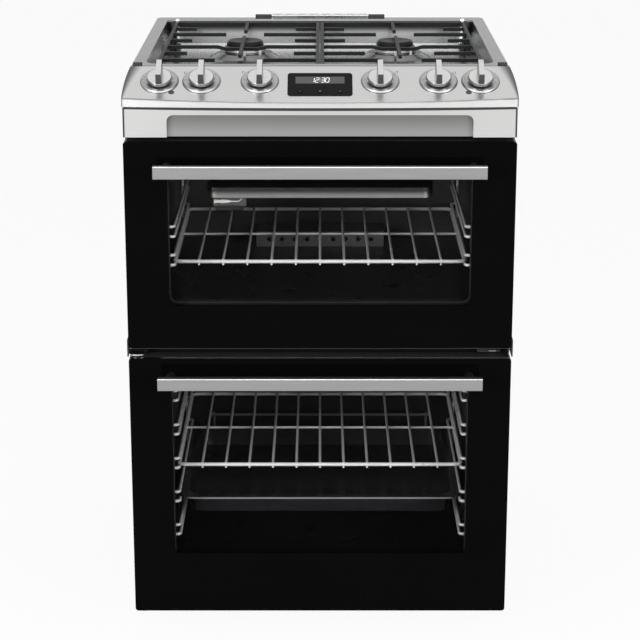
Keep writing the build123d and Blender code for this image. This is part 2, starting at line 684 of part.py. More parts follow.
def upper_door_pan():
    """The upper pan, with slotted hinge blocks in its bottom corners."""
    pan = door_pan(upper_door_bottom, UPPER_DOOR_HEIGHT, *ovens[1])
    pivot_z = upper_door_bottom + UPPER_PIVOT_RISE
    front = glass_y + GLASS
    inner = door_half - SHEET
    arm_x = door_half - HINGE_ARM_INSET
    reach = HINGE_ARM_HEIGHT / 2 + HINGE_SLOT_GAP
    half_slot = HINGE_ARM / 2 + HINGE_SLOT_GAP
    floor = upper_door_bottom + SHEET
    top = floor + HINGE_BLOCK
    for side in (-1, 1):
        pan += block(side * (inner - HINGE_BLOCK), side * inner, front, pan_back_y, floor, top)
        pan -= block(
            side * (arm_x - half_slot), side * (arm_x + half_slot), pivot_y - reach, frame_y,
            upper_door_bottom - SHEET, pivot_z + reach)
        pin_end = arm_x + HINGE_ARM * 1.2 + HINGE_SLOT_GAP
        pin_start = arm_x - HINGE_ARM * 1.5 - HINGE_SLOT_GAP
        pan -= rod((side * pin_start, pivot_y, pivot_z), (side * pin_end, pivot_y, pivot_z), pin_hole_upper)
    return pan


def lower_door_pan():
    """The lower pan, with bored hinge blocks in its left corners."""
    pan = door_pan(LOWER_DOOR_BOTTOM, LOWER_DOOR_HEIGHT, *ovens[0])
    front = glass_y + GLASS
    left = -door_half + SHEET
    x = -door_half + LOWER_PIVOT_INSET
    depth = PIN_ENGAGEMENT + 2 * PIN_CLEARANCE
    for edge, inward in ((lower_door_top, -1), (LOWER_DOOR_BOTTOM, 1)):
        wall = edge + inward * SHEET
        pan += block(left, left + HINGE_BLOCK, front, pan_back_y, wall, wall + inward * HINGE_BLOCK)
        pan -= rod((x, pivot_y, edge - inward * SHEET), (x, pivot_y, edge + inward * depth), pin_hole_lower)
    return pan


# Fascia and controls

def fascia_plan(inset, rear):
    """The fascia seen from above: a bowed front between two drawn-in ends."""
    front = glass_y + inset
    half = half_width - inset
    back = hob_half - inset
    bow = ThreePointArc((-half, front), (0, front - FASCIA_BOW), (half, front))
    shoulder = (half - FASCIA_TAPER * 0.3, front + FASCIA_DEPTH * 0.55)
    right = ThreePointArc((half, front), shoulder, (back, fascia_rear_y))
    left = mirror(right, about=Plane.YZ)
    sides = [bow, right, left]
    if rear > fascia_rear_y:
        sides += [Line((back, fascia_rear_y), (back, rear)), Line((-back, fascia_rear_y), (-back, rear))]
    sides.append(Line((-back, rear), (back, rear)))
    return make_face(Curve() + sides)


def under_slope(plan, z0, drop):
    """A plan raised from z0 and cut off by the sloped panel, lowered by drop."""
    tall = extrude(Pos(0, 0, z0) * plan, amount=rim_z - z0 + FASCIA_DEPTH)
    return split(tall, bisect_by=panel.offset(-drop), keep=Keep.BOTTOM)


def control_fascia():
    """The bowed steel fascia with holes for the spindles and the display."""
    shell = under_slope(fascia_plan(0, fascia_rear_y), lip_z, 0)
    shell = fillet(shell.edges().filter_by(crease_edge), RIM_EDGE)
    inside = fascia_plan(FASCIA_SHEET, fascia_rear_y + RIM_WIDTH)
    shell -= under_slope(inside, lip_z - LIP_HEIGHT, FASCIA_SHEET)
    for x in knob_places:
        shell -= panel * Pos(x, KNOB_UP_SLOPE, 0) * Cylinder(SPINDLE * 1.5, 4 * FASCIA_SHEET)
    cut_out = extrude(display_cut_out(), amount=4 * FASCIA_SHEET)
    return shell - panel * Pos(0, DISPLAY_UP_SLOPE, -2 * FASCIA_SHEET) * cut_out


def display_cut_out():
    """The hole in the fascia behind the display plate."""
    return RectangleRounded(DISPLAY_WIDTH - 2 * DISPLAY_LAP, DISPLAY_HEIGHT - 2 * DISPLAY_LAP, DISPLAY_CORNER)


def crease_edge(edge):
    """Whether an edge is the bowed crease between the lip and the slope."""
    middle = edge.center()
    at_front = middle.Y < glass_y and middle.Z > lip_z + LIP_HEIGHT * 0.3
    return at_front and edge.length > CASING_WIDTH * 0.5


def vent_strip():
    """The steel strip under the fascia, with a scooped vent that is open at the bottom."""
    half = half_width - DOOR_CLEARANCE * 2
    front = glass_y + STRIP_SETBACK
    back = front + SCOOP_DEPTH
    inner = half - SHEET
    rear = frame_y + SHEET
    top = lip_z - STRIP_TOP_GAP
    shell = block(-half, half, front, frame_y, strip_z, top)
    shell -= block(-inner, inner, front + SHEET, rear, strip_z + SHEET, top - SHEET)
    shell -= block(-inner, inner, front + STRIP_TOP_FLANGE, rear, strip_z + SHEET, lip_z)
    scoops = []
    for grow in (SHEET, 0):
        tall = 2 * (SCOOP_HEIGHT + grow)
        scoop = upright_slab(
            SCOOP_WIDTH + 2 * grow, tall, SCOOP_CORNER + grow, front, back + grow, 0, strip_z)
        scoops.append(scoop)
    below = block(-half, half, front, frame_y, strip_z - 2 * SCOOP_HEIGHT, strip_z)
    return shell + (scoops[0] - below) - scoops[1]


def on_panel(x, shape):
    """A shape modelled about a knob's axis, put in its place on the slope."""
    return panel * Pos(x, KNOB_UP_SLOPE, 0) * shape


def knob_bezels():
    """A dished ring round each knob."""
    inner = KNOB_RADIUS + BEZEL_GAP
    outline = Polyline(
        (inner, 0), (BEZEL_RADIUS, 0), (BEZEL_RADIUS, BEZEL_HEIGHT * 0.5),
        (BEZEL_RADIUS - BEZEL_EDGE, BEZEL_HEIGHT), (inner, BEZEL_HEIGHT * 0.75), close=True,
    )
    ring = revolve(Plane.XZ * make_face(outline), axis=Axis.Z)
    return group([on_panel(x, ring) for x in knob_places])


def knob():
    """A control knob about its own axis: a shallow disc with a tall finger grip, bored for its spindle."""
    disc = Pos(0, 0, KNOB_LIFT) * upward_rod(KNOB_RADIUS, KNOB_DISC)
    disc = chamfer(disc.faces().sort_by(Axis.Z)[-1].edges(), KNOB_DISC * 0.25)
    base = Pos(0, 0, KNOB_LIFT + KNOB_DISC * 0.5) * RectangleRounded(GRIP_WIDTH, GRIP_LENGTH, GRIP_EDGE)
    grip = extrude(base, amount=GRIP_HEIGHT + KNOB_DISC * 0.5, taper=GRIP_TAPER)
    bore = upward_rod(SPINDLE + SPINDLE_CLEARANCE, SPINDLE_IN_KNOB + SPINDLE_CLEARANCE)
    return disc + grip - Pos(0, 0, KNOB_LIFT) * bore


def tap_spindle():
    """The spindle between a knob and its tap."""
    low = -(TAP_TOP + SPINDLE_IN_TAP)
    high = KNOB_LIFT + SPINDLE_IN_KNOB
    return Pos(0, 0, low) * upward_rod(SPINDLE, high - low)


def tap_outlet_start():
    """Where a tap's outlet leaves the tap's axis."""
    along = -(TAP_TOP + TAP_LENGTH) + TAP_OUTLET_RISE
    return panel.from_local_coords(Vector(0, KNOB_UP_SLOPE, along))


def gas_taps():
    """A tap under each knob, seated on the gas rail, with an outlet to the rear on the four hob taps."""
    body = Pos(0, 0, -TAP_TOP - TAP_LENGTH) * upward_rod(TAP_RADIUS, TAP_LENGTH)
    bore_depth = SPINDLE_IN_TAP + KNOB_PUSH + 2 * SPINDLE_CLEARANCE
    bore = Pos(0, 0, -TAP_TOP - bore_depth) * upward_rod(SPINDLE + SPINDLE_CLEARANCE, bore_depth + SHEET)
    taps = []
    for x in knob_places:
        tap = on_panel(x, body)
        if abs(x) < max(KNOB_OFFSETS):
            tap += rod((x, outlet.Y, outlet.Z), (x, outlet_y, outlet.Z), TAP_OUTLET)
        taps.append(tap - on_panel(x, bore))
    return group(taps)


def feed_route(x, y, radius):
    """The corners of a feed pipe: outer hob taps feed the front burners, inner ones the rear burners."""
    side = math.copysign(1, x)
    z = outlet.Z
    reach = stub_reach(radius)
    if y == front_row_y:
        return (x, outlet_y, z), (x, y, z), (side * (burner_x + reach), y, z)
    turn = y - reach - 2 * PIPE_BEND
    return (x, outlet_y, z), (x, turn, z), (side * burner_x, turn, z), (side * burner_x, y - reach, z)


def gas_rail():
    """The square rail that the taps stand on."""
    start = Plane(origin=rail_centre - Vector(RAIL_END, 0, 0), x_dir=panel.y_dir, z_dir=(1, 0, 0))
    section = RectangleRounded(RAIL_SECTION, RAIL_SECTION, RAIL_EDGE)
    return extrude(start * section, amount=2 * RAIL_END)


def gas_pipework():
    """The gas rail under the taps and the pipes from the hob taps to the burner cups."""
    pieces = [gas_rail()]
    inner, outer = KNOB_OFFSETS[:2]
    for x, y, radius in (
        (-outer, front_row_y, LARGE_HEAD), (outer, front_row_y, SMALL_HEAD),
        (-inner, rear_row_y, MEDIUM_HEAD), (inner, rear_row_y, MEDIUM_HEAD),
    ):
        route = feed_route(x, y, radius)
        step = abs(route[2][0] - x)
        bends = len(route) - 2
        path = FilletPolyline(*route, radius=min(PIPE_BEND, step * 0.9 / bends))
        pieces.append(sweep(Plane(origin=route[0], z_dir=(0, 1, 0)) * Circle(PIPE), path=path))
    return group(pieces)


def gas_inlet():
    """The supply pipe from the back of the rail to the threaded inlet on the back panel."""
    y, z = rail_centre.Y, rail_centre.Z
    start = back_y + INLET_NUT
    pipe = rod((inlet_x, y, z), (inlet_x, start, z), INLET_PIPE) - gas_rail()
    nut = Plane(origin=(inlet_x, back_y, z), z_dir=(0, 1, 0)) * RegularPolygon(INLET_THREAD * 1.35, 6)
    pipe += extrude(nut, amount=INLET_NUT)
    pipe += rod((inlet_x, start, z), (inlet_x, start + INLET_THREAD_LENGTH, z), INLET_THREAD)
    return pipe


def terminal_cover():
    """The cover of the mains terminals on the back panel, with a gland hole underneath."""
    z = TERMINAL_Z
    outer = back_y + TERMINAL_DEPTH
    wall = 2 * SHEET
    cover = upright_slab(TERMINAL_WIDTH, TERMINAL_HEIGHT, TERMINAL_CORNER, back_y, outer, TERMINAL_X, z)
    cover = chamfer(cover.faces().sort_by(Axis.Y)[-1].edges(), TERMINAL_EDGE)
    cover -= upright_slab(
        TERMINAL_WIDTH - 2 * wall, TERMINAL_HEIGHT - 2 * wall, TERMINAL_CORNER - wall, back_y - SHEET,
        outer - wall, TERMINAL_X, z)
    y = back_y + TERMINAL_DEPTH / 2
    return cover - rod((TERMINAL_X, y, z - TERMINAL_HEIGHT), (TERMINAL_X, y, z), GLAND_RADIUS)


def button_places():
    """The timer buttons on the display, as local x and y of the slope."""
    return [(step * BUTTON_PITCH, DISPLAY_UP_SLOPE - BUTTON_DROP) for step in (-1, 0, 1)]


def display_window():
    """The black display plate, seated in the fascia, with three holes for the buttons."""
    plug = Pos(0, DISPLAY_UP_SLOPE, -DISPLAY_PLATE) * extrude(display_cut_out(), amount=DISPLAY_PLATE)
    face = RectangleRounded(DISPLAY_WIDTH, DISPLAY_HEIGHT, DISPLAY_CORNER)
    plate = plug + Pos(0, DISPLAY_UP_SLOPE, 0) * extrude(face, amount=DISPLAY_PROUD)
    for x, y in button_places():
        plate -= Pos(x, y, 0) * Cylinder(BUTTON_RADIUS + BUTTON_CLEARANCE, 4 * DISPLAY_PLATE)
    return panel * plate


def display_housing():
    """The clock's case under the fascia, with a pocket for each button's stem."""
    case = RectangleRounded(HOUSING_WIDTH, HOUSING_HEIGHT, DISPLAY_CORNER)
    top = -DISPLAY_PLATE
    body = Pos(0, DISPLAY_UP_SLOPE, top - HOUSING_DEPTH) * extrude(case, amount=HOUSING_DEPTH)
    for x, y in button_places():
        body -= Pos(x, y, top) * Cylinder(BUTTON_RADIUS + BUTTON_CLEARANCE, 2 * (BUTTON_TRAVEL + 2))
    return panel * body


def timer_button(place):
    """A round push button of the timer."""
    x, y = place
    low = -DISPLAY_PLATE - BUTTON_CLEARANCE
    length = DISPLAY_PROUD + BUTTON_PROUD - low
    button = Pos(x, y, low) * upward_rod(BUTTON_RADIUS, length)
    button = fillet(button.faces().sort_by(Axis.Z)[-1].edges(), BUTTON_PROUD * 0.4)
    return panel * button


# Hob

def burners():
    """Each burner's x, y and head radius, the front pair first."""
    return [
        (-burner_x, front_row_y, LARGE_HEAD),
        (burner_x, front_row_y, SMALL_HEAD),
        (-burner_x, rear_row_y, MEDIUM_HEAD),
        (burner_x, rear_row_y, MEDIUM_HEAD),
    ]


def cup_radius(radius):
    """The radius of the cup under a burner head."""
    return min(radius - CUP_INSET, CUP_LIMIT)


def stub_reach(radius):
    """How far a cup's gas stub reaches from the middle of its burner."""
    return cup_radius(radius) + CUP_STUB_REACH


def tub(grow):
    """The well of the hob as a tapered solid, grown by a sheet's thickness."""
    width = 2 * (well_half + grow)
    depth = well_rear - well_front + 2 * grow
    mouth = Pos(0, (well_front + well_rear) / 2, rim_z) * RectangleRounded(width, depth, WELL_CORNER + grow)
    return extrude(mouth, amount=-(WELL_DEPTH + grow), taper=WELL_TAPER)


def mound(x, y, radius, grow):
    """The raised seat under a burner, as a cone frustum."""
    top = radius + MOUND_MARGIN - grow
    cone = Cone(top + MOUND_SKIRT, top, MOUND_RISE, align=(Align.CENTER, Align.CENTER, Align.MIN))
    return Pos(x, y, well_z - grow) * cone


def hob_panel():
    """The pressed steel hob: a rolled rim, a skirt, a deep well and a raised seat for each burner."""
    depth = rear_y - fascia_rear_y
    middle = (rear_y + fascia_rear_y) / 2
    skirt = flat_slab(2 * hob_half, depth, HOB_CORNER, crease_z, rim_z, 0, middle)
    skirt = fillet(skirt.faces().sort_by(Axis.Z)[-1].edges(), RIM_EDGE)
    hollow = flat_slab(
        2 * (hob_half - HOB_SHEET), depth - 2 * HOB_SHEET, HOB_CORNER - HOB_SHEET,
        crease_z - HOB_SHEET, rim_z - HOB_SHEET, 0, middle)
    panel_shape = skirt - hollow + tub(HOB_SHEET) - tub(0)
    panel_shape += [mound(x, y, radius, 0) for x, y, radius in burners()]
    panel_shape -= [mound(x, y, radius, HOB_SHEET) for x, y, radius in burners()]
    for x, y, radius in burners():
        panel_shape -= Pos(x, y, mound_z) * Cylinder(cup_radius(radius) + CUP_CLEARANCE, 4 * MOUND_RISE)
    return panel_shape


def burner_cups():
    """The mixing cups that hang through the hob, each with a gas stub at its side."""
    cups = []
    for x, y, radius in burners():
        outer = cup_radius(radius)
        outline = Polyline(
            (0, -CUP_DEPTH), (outer, -CUP_DEPTH), (outer, 0), (outer + CUP_INSET * 0.6, 0),
            (outer + CUP_INSET * 0.6, 1.0), (outer - CUP_WALL, 1.0), (outer - CUP_WALL, CUP_WALL - CUP_DEPTH),
            (0, CUP_WALL - CUP_DEPTH), close=True,
        )
        cup = Pos(x, y, mound_z) * revolve(Plane.XZ * make_face(outline), axis=Axis.Z)
        at_front = y < rear_row_y
        away_x, away_y = (math.copysign(1, x), 0) if at_front else (0, -1)
        near = outer - CUP_WALL / 2
        far = stub_reach(radius)
        stub = rod(
            (x + away_x * near, y + away_y * near, outlet.Z), (x + away_x * far, y + away_y * far, outlet.Z),
            CUP_STUB)
        cups.append(cup + stub)
    return group(cups)


def burner_heads():
    """Flared heads with a crown of flame ports."""
    heads = []
    for x, y, radius in burners():
        base = cup_radius(radius) - CUP_WALL - CUP_CLEARANCE
        top = HEAD_LIFT + HEAD_HEIGHT
        outline = Polyline(
            (base * 0.5, HEAD_LIFT), (radius - HEAD_EDGE, HEAD_LIFT), (radius, HEAD_LIFT + HEAD_EDGE),
            (radius - HEAD_EDGE, top), (base * 0.5, top), close=True,
        )
        head = revolve(Plane.XZ * make_face(outline), axis=Axis.Z)
        count = int(2 * math.pi * radius / PORT_PITCH)
        port = Pos(radius, 0, top) * Box(radius * 0.5, PORT_WIDTH, HEAD_HEIGHT)
        head -= [Rot(0, 0, 360 / count * step) * port for step in range(count)]
        heads.append(Pos(x, y, mound_z) * head)
    return group(heads)


def burner_caps():
    """Enamelled caps that lie on the heads."""
    caps = []
    for x, y, radius in burners():
        edge = radius - CAP_INSET
        base = HEAD_LIFT + HEAD_HEIGHT
        outline = Polyline(
            (0, base), (edge - 1, base), (edge, base + 1), (edge, base + CAP_THICKNESS * 0.6),
            (edge - 3, base + CAP_THICKNESS), (edge * 0.5, base + CAP_THICKNESS * 0.85),
            (0, base + CAP_THICKNESS * 0.8), close=True,
        )
        caps.append(Pos(x, y, mound_z) * revolve(Plane.XZ * make_face(outline), axis=Axis.Z))
    return group(caps)


def burner_electrodes():
    """A spark electrode and a flame probe beside each burner, on the flat of its mound."""
    thin = ELECTRODE * 0.5
    outline = Polyline(
        (0, 0), (ELECTRODE, 0), (ELECTRODE, ELECTRODE_HEIGHT * 0.6), (thin, ELECTRODE_HEIGHT * 0.7),
        (thin, ELECTRODE_HEIGHT), (0, ELECTRODE_HEIGHT), close=True,
    )
    pin = revolve(Plane.XZ * make_face(outline), axis=Axis.Z)
    pins = []
    for x, y, radius in burners():
        reach = radius + ELECTRODE + MOUND_MARGIN * 0.2
        for turn in (-90, -90 + PROBE_ANGLE):
            angle = math.radians(turn)
            pins.append(Pos(x + reach * math.cos(angle), y + reach * math.sin(angle), mound_z) * pin)
    return group(pins)


def bar(x0, y0, x1, y1):
    """A straight bar of a pan support, square to the hob's sides."""
    half = BAR_WIDTH / 2
    top = rim_z - SUPPORT_DROP
    low_x, high_x = sorted((x0, x1))
    low_y, high_y = sorted((y0, y1))
    if low_x == high_x:
        return block(low_x - half, low_x + half, low_y, high_y, top - BAR_HEIGHT, top)
    return block(low_x, high_x, low_y - half, low_y + half, top - BAR_HEIGHT, top)


def dipped_bar(start, end, y):
    """The middle bar of a pan support, which dips under the finger that crosses it."""
    top = rim_z - SUPPORT_DROP
    across = ((start, 0), (burner_x - DIP_HALF - DIP_SLOPE, 0), (burner_x - DIP_HALF, MIDDLE_DIP))
    across += ((burner_x + DIP_HALF, MIDDLE_DIP), (burner_x + DIP_HALF + DIP_SLOPE, 0), (end, 0))
    upper = [(x, top - drop) for x, drop in across]
    lower = [(x, top - drop - BAR_HEIGHT) for x, drop in reversed(across)]
    side = Plane(origin=(0, y + BAR_WIDTH / 2, 0), x_dir=(1, 0, 0), z_dir=(0, -1, 0))
    return extrude(side * make_face(Polyline(*upper, *lower, close=True)), amount=BAR_WIDTH)


def pan_support(side, front_gap, front_finger):
    """One grate: two rails, a rear bar, long and short fingers round each burner, a dipped bar and legs."""
    inner = SUPPORT_GAP / 2 + BAR_WIDTH / 2
    outer = well_half - wall_lean - SUPPORT_MARGIN
    front = fascia_rear_y + SUPPORT_FRONT
    rear = rear_y - SUPPORT_REAR
    first = front_row_y
    second = rear_row_y
    middle = (first + second) / 2
    bars = [bar(inner, front, inner, rear), bar(outer, front, outer, rear), bar(inner, rear, outer, rear)]
    for row, gap in ((first, front_gap), (second, FINGER_GAP)):
        bars += [bar(inner, row, burner_x - gap, row), bar(burner_x + gap, row, outer, row)]
    for row, reach in (
        (front + BAR_WIDTH / 2, front_finger), ((first + middle) / 2, front_finger),
        ((middle + second) / 2, SHORT_FINGER), ((second + rear) / 2, SHORT_FINGER),
    ):
        bars += [bar(inner, row, inner + reach, row), bar(outer - reach, row, outer, row)]
    bars += [bar(burner_x, first + front_gap, burner_x, second - FINGER_GAP)]
    bars += [bar(burner_x, second + FINGER_GAP, burner_x, rear)]
    bars.append(dipped_bar(inner, outer, middle))
    leg_low = well_z + SUPPORT_LIFT_CLEARANCE
    leg_high = rim_z - SUPPORT_DROP - BAR_HEIGHT / 2
    leg = Cone(
        BAR_WIDTH * 0.4, BAR_WIDTH * 0.5, leg_high - leg_low, align=(Align.CENTER, Align.CENTER, Align.MIN))
    for x in (inner, outer):
        for y in ((front + first) / 2, (second + rear) / 2):
            bars.append(Pos(x, y, leg_low) * leg)
    grate = bars[0] + bars[1:]
    return grate if side > 0 else mirror(grate, about=Plane.YZ)


def flue_outlet():
    """The slotted flue cover on the rear rim."""
    middle = rear_y - RIM_WIDTH / 2
    cover = flat_slab(FLUE_WIDTH, FLUE_DEPTH, BUFFER_CORNER, rim_z, rim_z + FLUE_HEIGHT, 0, middle)
    cover = fillet(cover.faces().sort_by(Axis.Z)[-1].edges(), FLUE_EDGE)
    pitch = FLUE_WIDTH / FLUE_SLOTS
    slot = extrude(SlotOverall(pitch * 0.7, FLUE_DEPTH * 0.25), amount=FLUE_HEIGHT)
    for step in range(FLUE_SLOTS):
        x = (step - (FLUE_SLOTS - 1) / 2) * pitch
        cover -= Pos(x, middle, rim_z + FLUE_HEIGHT * 0.4) * slot
    return cover


def lid_buffers():
    """Rubber blocks at the ends of the flue cover and on the front corners of the rim."""
    middle = rear_y - RIM_WIDTH / 2
    x = FLUE_WIDTH / 2 + BUFFER_WIDTH / 2
    rear = flat_slab(BUFFER_WIDTH, FLUE_DEPTH, BUFFER_CORNER, rim_z, rim_z + FLUE_HEIGHT * 0.8, x, middle)
    front = flat_slab(
        FRONT_BUFFER_WIDTH, FRONT_BUFFER_WIDTH * 0.6, BUFFER_CORNER, rim_z, rim_z + FRONT_BUFFER_HEIGHT,
        hob_half - FRONT_BUFFER_WIDTH * 0.75, fascia_rear_y + FRONT_BUFFER_WIDTH * 0.6)
    return group(both_sides(rear) + both_sides(front))


ovens = ((lower_floor, lower_height), (upper_floor, upper_height))
knob_places = sorted([-x for x in KNOB_OFFSETS] + list(KNOB_OFFSETS))
outlet = tap_outlet_start()
outlet_y = outlet.Y + TAP_RADIUS / math.cos(slope) + TAP_OUTLET * math.tan(slope) + 1.0
rail_centre = panel.from_local_coords(Vector(0, KNOB_UP_SLOPE, -(TAP_TOP + TAP_LENGTH + RAIL_SECTION / 2)))
lower_runners = level_heights(lower_floor, LOWER_LEVEL_START, lower_level_pitch, LOWER_LEVELS)
upper_runners = level_heights(upper_floor, UPPER_LEVEL_START, UPPER_LEVEL_PITCH, UPPER_LEVELS)

right_panel = side_panel()
pieces = {
    "right_side_panel": right_panel,
    "left_side_panel": mirror(right_panel, about=Plane.YZ),
    "back_panel": back_panel(),
    "base_tray": base_tray(),
    "levelling_feet": levelling_feet(),
    "front_frame": front_frame(),
    "lower_cavity": cavity(*ovens[0]),
    "upper_cavity": cavity(*ovens[1]),
    "door_seals": door_seals(),
    "hinge_caps": hinge_caps(),
    "door_hinges": door_hinges(),
    "lower_side_racks": side_racks(lower_floor, LOWER_LEVEL_START, lower_level_pitch, LOWER_LEVELS),
    "upper_side_racks": side_racks(upper_floor, UPPER_LEVEL_START, UPPER_LEVEL_PITCH, UPPER_LEVELS),
    "lower_shelf": shelf(lower_runners[shelf_level]),
    "upper_shelf": shelf(upper_runners[0]),
    "roasting_tray": roasting_tray(),
    "grill_burner": grill_burner(),
    "oven_burners": oven_burners(),
    "oven_burner_covers": oven_burner_covers(),
    "upper_door_glass": door_pane(upper_door_bottom, UPPER_DOOR_HEIGHT),
    "upper_door_inner_glass": door_inner_glass(*ovens[1]),
    "upper_door_pan": upper_door_pan(),
    "upper_door_handle": door_handle(upper_door_top - HANDLE_DROP_UPPER),
    "lower_door_glass": door_pane(LOWER_DOOR_BOTTOM, LOWER_DOOR_HEIGHT),
    "lower_door_inner_glass": door_inner_glass(*ovens[0]),
    "lower_door_pan": lower_door_pan(),
    "lower_door_handle": door_handle(lower_door_top - HANDLE_DROP_LOWER),
    "control_fascia": control_fascia(),
    "vent_strip": vent_strip(),
    "knob_bezels": knob_bezels(),
    "gas_taps": gas_taps(),
    "gas_pipework": gas_pipework(),
    "gas_inlet": gas_inlet(),
    "terminal_cover": terminal_cover(),
    "display_window": display_window(),
    "display_housing": display_housing(),
    "hob_panel": hob_panel(),
    "burner_cups": burner_cups(),
    "burner_heads": burner_heads(),
    "burner_caps": burner_caps(),
    "burner_electrodes": burner_electrodes(),
    "left_pan_support": pan_support(-1, WOK_FINGER_GAP, SHORT_FINGER),
    "right_pan_support": pan_support(1, FINGER_GAP, LONG_FINGER),
    "flue_outlet": flue_outlet(),
    "lid_buffers": lid_buffers(),
}
for number, x in enumerate(knob_places, start=1):
    pieces[f"control_knob_{number}"] = on_panel(x, knob())
    pieces[f"tap_spindle_{number}"] = on_panel(x, tap_spindle())
for name, place in zip(("left", "middle", "right"), button_places()):
    pieces[f"timer_button_{name}"] = timer_button(place)

os.makedirs("parts", exist_ok=True)
for name, shape in pieces.items():
    export_step(shape, os.path.join("parts", name + ".step"))
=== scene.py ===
"""Looks of a freestanding gas cooker: finishes, small fittings, studio and camera.

Metres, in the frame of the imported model: +Z is up, the doors face -Y, and +X is to the right of
someone who faces the doors.
"""

import json
import logging
import math
from dataclasses import dataclass
from enum import Enum
from typing import Any, Callable, Optional, Sequence, Union

import bpy
from mathutils import Matrix, Vector


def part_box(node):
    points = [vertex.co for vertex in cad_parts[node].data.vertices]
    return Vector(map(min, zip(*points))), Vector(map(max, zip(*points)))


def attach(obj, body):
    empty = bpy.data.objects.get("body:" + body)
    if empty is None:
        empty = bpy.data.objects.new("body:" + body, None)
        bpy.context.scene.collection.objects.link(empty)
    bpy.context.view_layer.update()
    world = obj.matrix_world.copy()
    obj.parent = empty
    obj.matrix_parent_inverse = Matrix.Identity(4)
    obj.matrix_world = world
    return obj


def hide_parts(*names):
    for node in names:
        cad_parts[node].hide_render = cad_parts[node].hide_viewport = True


Colour = tuple[float, float, float]
Point = tuple[float, float, float]
Span = tuple[float, float]

LOG = logging.getLogger("cooker")
MM = 0.001
MERGE_GAP = 0.001 * MM
DEGREE = math.pi / 180
KNOBS = range(1, 7)

# Sockets of the Mix node when it mixes colours.
MIX_SHARE, MIX_FIRST, MIX_SECOND, MIX_RESULT = 0, 6, 7, 2

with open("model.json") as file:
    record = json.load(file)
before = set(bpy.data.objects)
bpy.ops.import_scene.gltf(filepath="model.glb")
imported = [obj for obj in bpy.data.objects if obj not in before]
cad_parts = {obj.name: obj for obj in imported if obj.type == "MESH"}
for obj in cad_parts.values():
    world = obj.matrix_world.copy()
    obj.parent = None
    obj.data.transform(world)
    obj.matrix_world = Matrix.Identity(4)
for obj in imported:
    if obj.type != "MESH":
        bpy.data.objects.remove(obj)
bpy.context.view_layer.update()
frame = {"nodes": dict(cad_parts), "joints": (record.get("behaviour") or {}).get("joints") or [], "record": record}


def operation(name: str) -> Callable[..., "Value"]:
    """Makes a method of Value.

    Args:
        name: the operation of the Math node that the method adds.

    Returns:
        The method, which takes the node's terms in order.
    """

    def method(*terms: Union["Value", float]) -> "Value":
        """The node's result."""
        return terms[0].recipe.node("ShaderNodeMath", {"operation": name}, dict(enumerate(terms)))

    return method


class Value:
    """A shader socket that takes part in Python arithmetic. A comparison gives 1 where it holds, else 0."""

    __add__ = __radd__ = operation("ADD")
    __sub__ = operation("SUBTRACT")
    __mul__ = __rmul__ = operation("MULTIPLY")
    __truediv__ = operation("DIVIDE")
    __lt__ = operation("LESS_THAN")
    __gt__ = operation("GREATER_THAN")
    __abs__ = operation("ABSOLUTE")
    at_least = operation("MAXIMUM")

    def __init__(self, recipe: "Recipe", socket: Optional[bpy.types.NodeSocket]) -> None:
        """Wraps an output socket of a recipe's node."""
        self.recipe = recipe
        self.socket = socket

    def __rsub__(self, other: float) -> "Value":
        """The difference from a number."""
        return self.recipe.node("ShaderNodeMath", {"operation": "SUBTRACT"}, {0: other, 1: self})

    def ramp(self, low: float, high: float) -> "Value":
        """A smooth step between two values.

        Args:
            low: where it is 0.
            high: where it is 1.

        Returns:
            The step.
        """
        settings = {"interpolation_type": "SMOOTHSTEP"}
        inputs = {"Value": self, "From Min": low, "From Max": high}
        return self.recipe.node("ShaderNodeMapRange", settings, inputs)


Input = Union[Value, float, Colour]
Shade = tuple[Value, Input]


